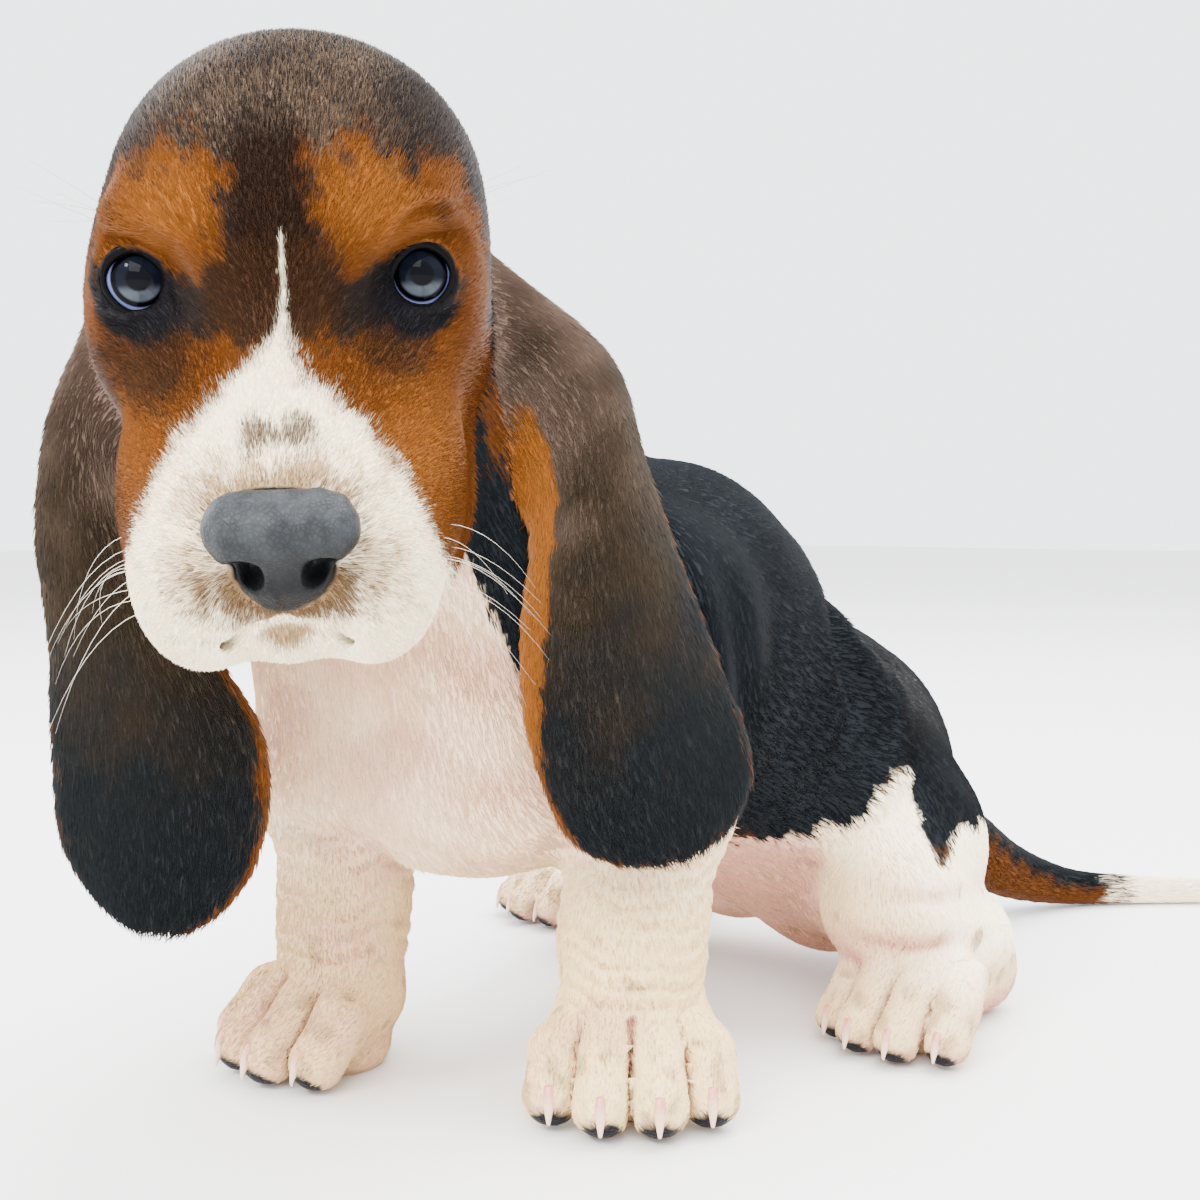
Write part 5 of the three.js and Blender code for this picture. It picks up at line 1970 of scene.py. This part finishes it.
@dataclass
class CoatPiece:
    """The tufts of a few parts. Each tuft is a closed sliver of four faces: two that meet in a ridge, one
    beneath and one at its root."""

    name: str
    parts: tuple[Part, ...]
    limit: int
    slot: str
    span: tuple = (-1000.0, 1000.0)
    root_depth: float = 0.12
    face: Cut = Cut(2.3, 0.25, 11, 4.5)
    skull: Cut = Cut(3.2, 0.30, 11, 3.0)
    ears: Cut = Cut(4.0, 0.34, 9, 2.2)
    trunk: Cut = Cut(3.8, 0.40, 5, 1.8)
    legs: Cut = Cut(2.4, 0.30, 6, 2.6)
    paws: Cut = Cut(1.4, 0.24, 9, 3.8)

    def cuts(self, p: Array, part: Part) -> Array:
        """Length, width, lift and closeness of the hair at each place of a part.

        Args:
            p: points in the maker's frame.
            part: the part they belong to.

        Returns:
            (n, 4) numbers.
        """
        def row(cut: Cut) -> Array:
            """The four numbers of a cut."""
            return np.array([cut.length, cut.width, cut.lift, cut.close])

        if part is Part.HEAD:
            q = HEAD.read(p)
            front = smooth(-22, 6, q[:, 1])[:, None]
            return row(self.skull) * (1 - front) + row(self.face) * front
        if part in EAR_PARTS:
            return np.repeat(row(self.ears)[None], len(p), 0)
        if part in LEG_PARTS:
            low = smooth(38, 20, p[:, 2])[:, None]
            high = smooth(60, 100, p[:, 2])[:, None]
            leg = row(self.legs) * (1 - low) + row(self.paws) * low
            return leg * (1 - high) + row(self.trunk) * high
        cut = np.repeat(row(self.trunk)[None], len(p), 0)
        if part is Part.TAIL:
            cut[:, 0] *= 1 + 0.7 * smooth(190, 215, p[:, 1])
        return cut

    def roots(self, skin: SkinPiece, owner: Array, draw: np.random.Generator) -> tuple[Array, Array, Array]:
        """Places the roots evenly by area and closeness on the faces of these parts.

        Args:
            skin: the finished skin.
            owner: the part of each of its faces.
            draw: where the random numbers come from.

        Returns:
            Roots, directions outwards and the four numbers of their cut.
        """
        corners = skin.points[skin.faces]
        area = 0.5 * np.linalg.norm(diagonals_crossed(corners), axis=1)
        cuts = np.zeros((len(skin.faces), 4))
        middle = corners.mean(1)
        for part in self.parts:
            here = owner == PARTS.index(part)
            cuts[here] = self.cuts(middle[here], part)
        place = HEAD.read(middle)[:, 1] if Part.HEAD in self.parts else middle[:, 1]
        spanned = (place >= self.span[0]) & (place < self.span[1])
        want = area * cuts[:, 3] * (1 - skin.body.bare(middle)) * spanned
        total = np.cumsum(want)
        count = int(min(total[-1], self.limit))
        pick = np.searchsorted(total, (np.arange(count) + draw.uniform(0, 1, count)) * total[-1] / count)
        pick = np.minimum(pick, len(want) - 1)
        LOG.info("%s: %.0f tufts wanted, %d made", self.name, total[-1], count)
        s, t = draw.uniform(0, 1, (2, count, 1))
        weights = ((1 - s) * (1 - t), s * (1 - t), s * t, (1 - s) * t)
        face = skin.faces[pick]
        place = sum(w * skin.points[face[:, i]] for i, w in enumerate(weights))
        out = unit(sum(w * skin.normals[face[:, i]] for i, w in enumerate(weights)))
        return place, out, cuts[pick]

    def build(self, skin: SkinPiece, owner: Array, material: bpy.types.Material) -> bpy.types.Object:
        """Grows the tufts.

        A tuft's root is a triangle that starts root_depth beneath the skin: left and right of its place by
        half its width and above the skin by 1.6 of that. Its tip lies its length away along the lie of the
        coat, by the cosine of its lift along the skin and by its sine off it.

        Args:
            skin: the finished skin.
            owner: the part of each of its faces.
            material: the fur's finish.

        Returns:
            The piece.
        """
        draw = np.random.default_rng(SEED + len(self.name))
        body = skin.body
        place, n, cut = self.roots(skin, owner, draw)
        keep = draw.uniform(size=len(place)) > body.bare(place)
        place, n, cut = place[keep], n[keep], cut[keep]
        count = len(place)
        way = body.lie(place, n)
        swing = draw.normal(0, 0.13, (count, 1))
        way = unit(way + swing * np.cross(n, way))
        length = cut[:, :1] * draw.uniform(0.7, 1.15, (count, 1))
        width = cut[:, 1:2] * draw.uniform(0.8, 1.2, (count, 1)) / 2
        lift = np.radians(cut[:, 2:3] * draw.uniform(0.5, 1.5, (count, 1)))
        side = np.cross(n, way)
        base, deep = place - self.root_depth * n, self.root_depth
        points = np.stack([base + side * width, base - side * width, base + n * (deep + 1.6 * width),
                           place + way * length * np.cos(lift) + n * length * np.sin(lift)], 1)
        points[..., 2] = np.maximum(points[..., 2], 0.05)
        faces = (np.arange(count)[:, None, None] * 4 + TUFT_FACES).reshape(-1, 3)
        piece = make_object(self.name, points.reshape(-1, 3), faces, False)
        hair = body.colour(place, n, draw.uniform(0, 1, count))
        hair = hair * draw.uniform(0.88, 1.12, (count, 1))
        # Each point's colour is scaled by its painted shade and light: roots darker, tip lighter.
        store_colour(piece, (hair[:, None, :] * TUFT_SHADE[None, :, None]).reshape(-1, 3))
        store_map(piece, (body.flat(place, n)[:, None, :] + TUFT_PATCH[None]).reshape(-1, 2))
        piece.data.materials.append(material)
        return piece


# Eyes, nose, claws and whiskers.


@dataclass(frozen=True)
class EyeFinish:
    """A puppy's eye: an iris with fine spokes, painted dark above as painted shade under the lid and milky
    grey-blue below, its own colour with a painted reflection of the pale floor; a dark pupil and rim, a
    bluish white and a wet surface. It reads three attributes: turn, the angle off the line of sight in
    degrees; spoke, the direction round that line; and low, how far down the front of the eye a place lies."""

    iris: tuple = paint(11, 14, 22)
    iris_and_floor_reflection: tuple = paint(60, 66, 73)
    pupil: tuple = paint(3, 4, 7)
    rim: tuple = paint(2, 2, 4)
    white: tuple = paint(84, 90, 128)
    pupil_edge: float = 17.0
    iris_edge: float = 42.5

    def build(self) -> bpy.types.Material:
        """The material."""
        sheet = Sheet("eye")
        turn = sheet.attribute("turn", "Fac")
        round_iris = sheet.attribute("spoke", "Vector")
        spokes = sheet.noise(3.2, 3.0, round_iris)
        low = sheet.attribute("low", "Fac")
        # Painted light: the iris is dark above, as painted shade under the lid, and lighter below, its own
        # milky grey-blue with a painted reflection of the pale floor.
        iris = sheet.mix(low.step(0.16, 0.5), self.iris, self.iris_and_floor_reflection)
        iris = sheet.mix(0.35 * spokes.step(0.35, 0.75), iris, self.pupil)
        iris = sheet.mix(turn.step(self.iris_edge - 12, self.iris_edge - 6.5), iris, self.rim)
        inner = sheet.mix(turn.step(self.pupil_edge - 2.5, self.pupil_edge + 2.5), self.pupil, iris)
        whole = sheet.mix(turn.step(self.iris_edge - 1, self.iris_edge + 3.5), inner, self.white)
        return sheet.finish(Base_Color=whole, Roughness=0.3, Coat_Weight=0.09, Coat_Roughness=0.02,
                            Specular_IOR_Level=0.0)


@dataclass(frozen=True)
class EyePiece:
    """An eyeball: a sphere whose front swells into the cornea, turned to look past the nose.

    At an angle a off the line of sight the radius is that of the eye plus bulge (cos(90 a / 42))^2 for a
    up to 42 degrees.
    """

    side: int
    radius: float = 8.7
    bulge: float = 0.5
    gaze: tuple = (0.08, 0.92, 0.39)
    rings: int = 56
    spokes: int = 64

    def build(self, material: bpy.types.Material) -> bpy.types.Object:
        """Makes the eyeball.

        Args:
            material: its finish.

        Returns:
            The piece.
        """
        form = HeadForm()
        ahead = unit(np.array(self.gaze))
        right = unit(np.cross(ahead, [0, 0, 1.0]))
        up = np.cross(right, ahead)
        a = np.linspace(0, math.pi, self.rings + 1)[1:-1]
        b = np.arange(self.spokes) * 2 * math.pi / self.spokes
        aa, bb = np.meshgrid(a, b, indexing="ij")
        radius = self.radius + self.bulge * np.cos(np.clip(np.degrees(aa) / 42, 0, 1) * math.pi / 2) ** 2
        ring = (np.cos(aa)[..., None] * ahead + (np.sin(aa) * np.cos(bb))[..., None] * right
                + (np.sin(aa) * np.sin(bb))[..., None] * up) * radius[..., None]
        front, back = ahead * (self.radius + self.bulge), -ahead * self.radius
        local = np.vstack([front, ring.reshape(-1, 3), back])
        turn = np.concatenate([[0], np.degrees(aa).ravel(), [180]])
        spoke = np.concatenate([[[0, 0]], np.stack([np.cos(bb), np.sin(bb)], -1).reshape(-1, 2), [[0, 0]]])
        centre = np.array(form.eye) * [self.side, 1, 1]
        name = "eye_left" if self.side > 0 else "eye_right"
        points = HEAD.place(local + centre)
        faces = outwards(points - points.mean(0), tube_faces(self.rings - 1, self.spokes))
        piece = make_object(f"{name}_ball", points, faces)
        store_number(piece, turn, "turn")
        # low marks where the eye's finish paints the floor's reflection on the lower iris.
        store_number(piece, -spoke[:, 1] * np.sin(np.radians(np.minimum(turn, 90))) / 0.68, "low")
        swirl = np.stack([spoke[:, 0], spoke[:, 1], turn / 160], 1).astype(np.float32)
        layer = piece.data.attributes.new("spoke", "FLOAT_VECTOR", "POINT")
        layer.data.foreach_set("vector", swirl.ravel())
        piece.data.materials.append(material)
        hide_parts(name)
        return piece


def tube_faces(rows: int, columns: int) -> Array:
    """Triangles of a closed form whose first point is one pole, whose last is the other and between which
    lie rows of columns points, each row winding to the right seen from the first pole.

    Args:
        rows: number of rows.
        columns: points in a row.

    Returns:
        (n, 3) numbers of points, to be turned outwards by the maker of the piece.
    """
    j = np.arange(columns)
    k = (j + 1) % columns
    caps = [np.stack([np.zeros_like(j), 1 + j, 1 + k], 1)]
    for i in range(rows - 1):
        a, b = 1 + i * columns + j, 1 + i * columns + k
        caps += [np.stack([a, a + columns, b + columns], 1), np.stack([a, b + columns, b], 1)]
    last = 1 + rows * columns
    start = 1 + (rows - 1) * columns
    caps.append(np.stack([np.full_like(j, last), start + k, start + j], 1))
    return np.concatenate(caps)


def outwards(points: Array, faces: Array) -> Array:
    """Faces turned so that a closed form's volume is positive."""
    a, b, c = (points[faces[:, i]] for i in range(3))
    return faces if (np.cross(a, b) * c).sum() > 0 else faces[:, ::-1]


@dataclass(frozen=True)
class LidPiece:
    """The wet dark edge of the lids of one eye: a rod that runs round the opening on a ball a little larger
    than the eye, thicker above than below.

    Round the opening at an angle t the rod's place is a = wide cos t sideways and b = high sin t upwards,
    both in degrees about the opening's own line, with b lowered towards the inner corner.
    """

    side: int
    outward: float = 6.5
    raised: float = 19.5
    wide: float = 46.5
    top: float = 46.0
    bottom: float = 49.5
    tilt: float = 4.0
    reach: float = 9.35
    rod: float = 0.62
    heavy: float = 0.65
    steps: int = 96
    sides: int = 12

    def build(self, material: bpy.types.Material) -> bpy.types.Object:
        """Makes the edge of the lids.

        Args:
            material: its finish.

        Returns:
            The piece.
        """
        t = np.arange(self.steps) * 2 * math.pi / self.steps
        s = np.sin(t)
        b = np.where(s > 0, self.top, self.bottom) * s * (1 - 0.1 * np.cos(t) ** 2)
        b = np.radians(b + self.tilt * np.cos(t) * np.abs(np.cos(t)))
        a = np.radians(self.wide * np.cos(t))
        o, r = math.radians(self.outward), math.radians(self.raised)
        front = np.array([math.sin(o) * math.cos(r), math.cos(o) * math.cos(r), math.sin(r)])
        right = np.array([math.cos(o), -math.sin(o), 0.0])
        up = np.cross(right, front)
        line = (np.sin(a) * np.cos(b))[:, None] * right + (np.cos(a) * np.cos(b))[:, None] * front
        line = line + np.sin(b)[:, None] * up
        ahead = unit(np.roll(line, -1, 0) - np.roll(line, 1, 0))
        across = np.cross(ahead, line)
        thick = self.rod + self.heavy * np.maximum(0, s) ** 0.7
        r = np.arange(self.sides) * 2 * math.pi / self.sides
        place = line * (self.reach + 0.3 * np.maximum(0, s))[:, None]
        spin = np.cos(r)[:, None] * line[:, None] + 1.1 * np.sin(r)[:, None] * across[:, None]
        ring = place[:, None] + thick[:, None, None] * spin
        eye = np.array(HeadForm().eye)
        points = HEAD.place((ring.reshape(-1, 3) + eye) * [self.side, 1, 1])
        i, j = np.meshgrid(np.arange(self.steps), np.arange(self.sides), indexing="ij")
        nxt, beside = (i + 1) % self.steps, (j + 1) % self.sides
        faces = np.stack([i * self.sides + j, i * self.sides + beside, nxt * self.sides + beside,
                          nxt * self.sides + j], -1).reshape(-1, 4)
        core = np.repeat(HEAD.place((place + eye) * [self.side, 1, 1]), self.sides, 0)
        corner = points[faces]
        normal = np.cross(corner[:, 1] - corner[:, 0], corner[:, 2] - corner[:, 0])
        away = (corner - core[faces]).mean(1)
        faces = faces if (normal * away).sum() > 0 else faces[:, ::-1]
        piece = make_object(f"lid_rim_{'left' if self.side > 0 else 'right'}", points, faces)
        piece.data.materials.append(material)
        return piece


@dataclass(frozen=True)
class LeatherFinish:
    """Smooth bare skin with fine cobbles and a damp shine, darkened by painted shade where a piece
    stores the attribute shade.
    """

    name: str
    dark: tuple
    light: tuple
    rough: float
    cobbles: float
    depth: float
    wet: float = 0.0
    shine: float = 0.25

    def build(self) -> bpy.types.Material:
        """The material."""
        sheet = Sheet(self.name)
        cell = sheet.wire("ShaderNodeTexVoronoi", "Distance", {"feature": "DISTANCE_TO_EDGE"},
                          {"Vector": sheet.place(), "Scale": self.cobbles})
        broad = sheet.noise(220, 3.0)
        ridge = cell.step(0.0, 0.25)
        tint = sheet.mix(0.35 * ridge + 0.65 * broad.step(0.35, 0.7), self.dark, self.light)
        rough = self.rough + 0.18 * (broad - 0.5) - 0.06 * ridge
        # Painted shade: the attribute shade darkens the colour where a piece stores it, as on the nose.
        tint = sheet.dim(tint, 1 - sheet.attribute("shade", "Fac"))
        return sheet.finish(Base_Color=tint, Roughness=rough, Coat_Weight=self.wet, Coat_Roughness=0.12,
                            Specular_IOR_Level=self.shine, Normal=sheet.bump(ridge, self.depth, 0.7))


@dataclass(frozen=True)
class NosePiece:
    """The nose, cast more finely than the skin round it."""

    cell: float = 0.5

    def build(self) -> bpy.types.Object:
        """Makes the nose."""
        grid = Grid.even((-20, 52, -46), (22, 82, -8), self.cell)
        points, faces = grid.net(NoseForm().shape())
        # Left, forward and up make a left-handed frame, so its faces point inwards once they are placed.
        piece = make_object("nose_leather", HEAD.place(points), faces[:, ::-1])
        # Painted light and shade in the attribute shade: the nose is painted lighter high up, where light
        # falls on its top, darker towards the bottom, and darker still at the lower outer edges of the wings.
        w = face_height(points)
        lit = along(w, (-62, 0.1), (-56, 0.2), (-51, 0.5), (-46, 0.9), (-43, 1.0))
        rim = smooth(11.5, 15.5, np.abs(points[:, 0] - 1.2)) * smooth(-46, -50, w)
        store_number(piece, 1 - lit * (1 - 0.6 * rim), "shade")
        finish = LeatherFinish("nose", paint(30, 32, 34), paint(50, 53, 55), 0.5, 950, 0.00008, 0.02, 0.1)
        piece.data.materials.append(finish.build())
        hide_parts("nose")
        return piece


@dataclass(frozen=True)
class ClawFinish:
    """Horn that is pale at the tip and pink where the quick shows through."""

    quick: tuple = paint(196, 124, 106)
    horn: tuple = paint(214, 180, 156)

    def build(self) -> bpy.types.Material:
        """The material, which reads the attribute out, 0 at the root and 1 at the tip."""
        sheet = Sheet("horn")
        out = sheet.attribute("out", "Fac")
        streak = sheet.noise(900, 2.0)
        tint = sheet.mix((out + 0.3 * (streak - 0.5)).step(0.1, 0.75), self.quick, self.horn)
        return sheet.finish(Base_Color=tint, Roughness=0.35, Coat_Weight=0.2, Coat_Roughness=0.2)


@dataclass(frozen=True)
class ClawSet:
    """The claws of all paws, horns that bend down and narrow to a point.

    At t from root to tip a claw's middle lies length t (1 - 0.12 t) ahead and drop t^2 below, with half
    widths of 2.2 (1 - 0.82 t) sideways and 2.8 (1 - 0.82 t) upwards.
    """

    length: float = 6.8
    drop: float = 4.2
    lean: float = 28.0
    rows: int = 14
    sides: int = 14

    def claw(self, axes: Axes, at: Array, size: float) -> tuple[Array, Array, Array]:
        """One claw.

        Args:
            axes: the paw's frame.
            at: the claw's root in it.
            size: how large the paw is.

        Returns:
            Points, faces and the place of each point from root to tip.
        """
        t = np.linspace(0, 0.97, self.rows)
        y, z = self.length * t * (1 - 0.12 * t), -self.drop * t**2
        wide, tall = 2.2 * (1 - 0.82 * t), 2.8 * (1 - 0.82 * t)
        a = np.arange(self.sides) * 2 * math.pi / self.sides
        ring = np.stack([wide[:, None] * np.cos(a), np.repeat(y[:, None], self.sides, 1),
                         z[:, None] + tall[:, None] * np.sin(a)], -1).reshape(-1, 3)
        local = np.vstack([[0, -1, 0], ring, [0, self.length * 0.89, -self.drop * 0.98]]) * size
        c, s = math.cos(math.radians(self.lean)), math.sin(math.radians(self.lean))
        x, y, z = local.T
        local = np.stack([x, y * c + z * s, z * c - y * s], 1)
        points = axes.place(local + at)
        faces = outwards(points - points.mean(0), tube_faces(self.rows, self.sides))
        return points, faces, np.concatenate([[0], np.repeat(t, self.sides), [1]])

    def build(self) -> bpy.types.Object:
        """Makes all sixteen as one piece."""
        points, faces, out, names = [], [], [], []
        total = 0
        for leg in LEGS:
            s, paw = leg.paw.size, leg.paw
            for i, (side, reach) in enumerate(zip(paw.sides, paw.reach)):
                at = np.array([side * 1.06 * s, (reach + 4.5) * s, (paw.tip_height + 2) * s])
                p, f, o = self.claw(paw.axes, at, s)
                points.append(p)
                faces.append(f + total)
                out.append(o)
                total += len(p)
                names.append(leg.name.replace("leg", "claw") + f"_{i + 1}")
        piece = make_object("claws", np.vstack(points), np.vstack(faces))
        store_number(piece, np.concatenate(out), "out")
        piece.data.materials.append(ClawFinish().build())
        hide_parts(*names)
        return piece


@dataclass(frozen=True)
class WhiskerSet:
    """Whiskers of the muzzle and long hairs over the eyes. Each is a thin rod of three sides whose middle
    at t from root to tip is root + length (t ahead + t^2 bend), and whose radius shrinks as 1 - 0.8 t."""

    name: str
    rows: int
    columns: int
    first: tuple
    row_step: tuple
    column_step: tuple
    ahead: tuple
    bend: tuple
    length: float
    colour: tuple
    radius: float = 0.11
    rings: int = 9

    @staticmethod
    def mirror(points: Array) -> Array:
        """Factors that turn a direction of the left side to the side on which each point lies."""
        return np.where([True, False, False], np.sign(points), 1.0)

    def roots(self, inside: Array, skin: SkinForm) -> Array:
        """Where each hair leaves the skin: the line from inside outwards is halved towards the surface.

        Args:
            inside: starts in the head's frame.
            skin: the skin's form.

        Returns:
            Roots in the head's frame.
        """
        low, high = np.zeros(len(inside)), np.full(len(inside), 34.0)
        way = unit(np.array(self.ahead) * self.mirror(inside) * [1, 0.2, 0.2])
        for _ in range(14):
            middle = (low + high) / 2
            out = skin.distance(HEAD.place(inside + way * middle[:, None])) > -0.3
            low, high = np.where(out, low, middle), np.where(out, middle, high)
        return inside + way * low[:, None]

    def build(self, skin: SkinForm) -> bpy.types.Object:
        """Makes the hairs.

        Args:
            skin: the skin's form.

        Returns:
            The piece.
        """
        draw = np.random.default_rng(SEED + self.rows * self.columns)
        i, j = np.meshgrid(np.arange(self.rows), np.arange(self.columns), indexing="ij")
        start = (np.array(self.first) + i.reshape(-1, 1) * np.array(self.row_step)
                 + j.reshape(-1, 1) * np.array(self.column_step))
        start = start + draw.normal(0, 0.9, start.shape)
        start = np.vstack([start, start * [-1, 1, 1]])
        count = len(start)
        side = self.mirror(start)
        root = self.roots(start, skin)
        way = unit(np.array(self.ahead) * side + draw.normal(0, 0.22, (count, 3)))
        bend = np.array(self.bend) * side + draw.normal(0, 0.16, (count, 3))
        length = self.length * draw.uniform(0.55, 1.15, (count, 1, 1))
        t = np.linspace(0, 1, self.rings)[None, :, None]
        line = root[:, None] + length * (t * way[:, None] + t**2 * bend[:, None])
        ahead = unit(np.gradient(line, axis=1))
        across = unit(np.cross(ahead, np.array([0.1, 0.3, 1.0])))
        third = np.cross(ahead, across)
        a = np.arange(3) * 2 * math.pi / 3
        ring = (line[:, :, None] + self.radius * (1 - 0.8 * t)[..., None] * (
            np.cos(a)[:, None] * across[:, :, None] + np.sin(a)[:, None] * third[:, :, None]))
        first, last = line[:, :1] - 0.05 * ahead[:, :1], line[:, -1:] + 0.05 * ahead[:, -1:]
        points = HEAD.place(np.concatenate([first, ring.reshape(count, -1, 3), last], 1))
        hair = outwards(points[0] - points[0].mean(0), tube_faces(self.rings, 3))
        faces = (np.arange(count)[:, None, None] * points.shape[1] + hair).reshape(-1, 3)
        piece = make_object(self.name, points.reshape(-1, 3), faces)
        sheet = Sheet(self.name)
        piece.data.materials.append(sheet.finish(Base_Color=self.colour, Roughness=0.4))
        return piece


def main() -> None:
    logging.basicConfig(level=logging.INFO, format="%(message)s")
    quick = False
    Studio().build()
    skin_form = SkinForm(folds=FOLDS)
    body = BodyMap(skin_form, Markings())
    skin = SkinPiece(skin_form, body, 1.6 if quick else 1.0)
    skin.build()
    NosePiece().build()
    eye = EyeFinish().build()
    edge = LeatherFinish("lid", paint(2, 2, 3), paint(5, 5, 6), 0.45, 1200, 0.00004, 0.02, 0.03).build()
    for side, outward in ((1, 6.5), (-1, 2.0)):
        EyePiece(side).build(eye)
        LidPiece(side, outward).build(edge)
    ClawSet().build()
    for whiskers in WHISKERS:
        whiskers.build(skin_form)
    fur = FurFinish().build()
    owner = body.gaps(skin.points[skin.faces].mean(1)).argmin(1)
    for coat in COATS:
        coat.build(skin, owner, fur)


FOLDS = (
    Fold(((20.5, 6.5, 0), (22, 6.5, 5.5), (24.5, 6.2, 10.1), (27, 5.9, 13.5), (30.4, 3.8, 15.4),
          (35, 0.1, 14.3)), 1.2, 1.0, 0.5, Where.HEAD),
    Fold(((-21, 6, -4), (-23.5, 4.5, 0), (-26, 2.7, 3.8), (-27.3, 2.2, 7.1), (-31.5, 0.8, 8.9),
          (-35.1, -0.4, 7.4)), 1.2, 1.0, 0.5, Where.HEAD),
    Fold(((18, 9, -8), (22, 8.5, -13), (29, 5.5, -16.5), (36, 1, -16)), 1.8, 0.6, 0.4, Where.HEAD, True),
    Fold(((48, -44, 148), (53, -40, 124), (52, -36, 104), (47, -32, 84)), 5, 2.2, 0.5),
    Fold(((20, 22, 122), (38, 20, 108), (46, 22, 92), (48, 14, 76), (44, 4, 64)), 6, 5.0, 0.5),
    Fold(((48, 38, 96), (50, 30, 84), (50, 20, 74)), 4, 3.0, 0.4),
    Fold(((-47, -114, 71), (-43.5, -112, 68), (-27.4, -105.5, 63.7), (-9.7, -100.3, 62.5), (2, -98, 62)),
         3, 2.0, 0.35),
    Fold(((58, 10, 42), (66, 24, 40), (69, 42, 38), (66, 58, 36)), 3, 2.0, 0.4),
    Fold(((52, 4, 30), (62, 14, 28), (72, 32, 26), (72, 50, 24)), 2.5, 1.2, 0.4),
)

WHISKERS = (
    WhiskerSet("whiskers", 3, 4, (9, 56, -38), (0.5, -1.5, -6.0), (0.8, -6.5, -0.6), (0.86, 0.30, -0.12),
               (0.02, -0.55, -1.15), 23, paint(226, 220, 206), 0.065),
    WhiskerSet("brow_hairs", 1, 5, (20, -2, 10), (0, 0, 0), (2.6, -0.5, 0.5), (0.42, 0.5, 0.6),
               (0.65, -0.5, -0.1), 17, paint(24, 18, 16), 0.06),
)

COATS = (
    CoatPiece("coat_muzzle", (Part.HEAD,), 49000, "coat_brown", (22.0, 1000.0)),
    CoatPiece("coat_brow", (Part.HEAD,), 49000, "coat_brown", (-16.0, 22.0)),
    CoatPiece("coat_crown", (Part.HEAD,), 34000, "coat_brown", (-1000.0, -16.0)),
    CoatPiece("coat_ear_left", (Part.EAR_LEFT,), 36000, "coat_ear"),
    CoatPiece("coat_ear_right", (Part.EAR_RIGHT,), 36000, "coat_ear"),
    CoatPiece("coat_chest", (Part.TRUNK,), 24000, "coat_white", (-1000.0, -50.0)),
    CoatPiece("coat_saddle", (Part.TRUNK,), 36000, "coat_black", (-50.0, 1000.0)),
    CoatPiece("coat_forelegs", (Part.FORELEG_LEFT, Part.FORELEG_RIGHT), 44000, "coat_white"),
    CoatPiece("coat_hindlegs", (Part.HINDLEG_LEFT, Part.HINDLEG_RIGHT), 36000, "coat_white"),
    CoatPiece("coat_tail", (Part.TAIL,), 9000, "coat_black"),
)

if __name__ == "__main__":
    main()
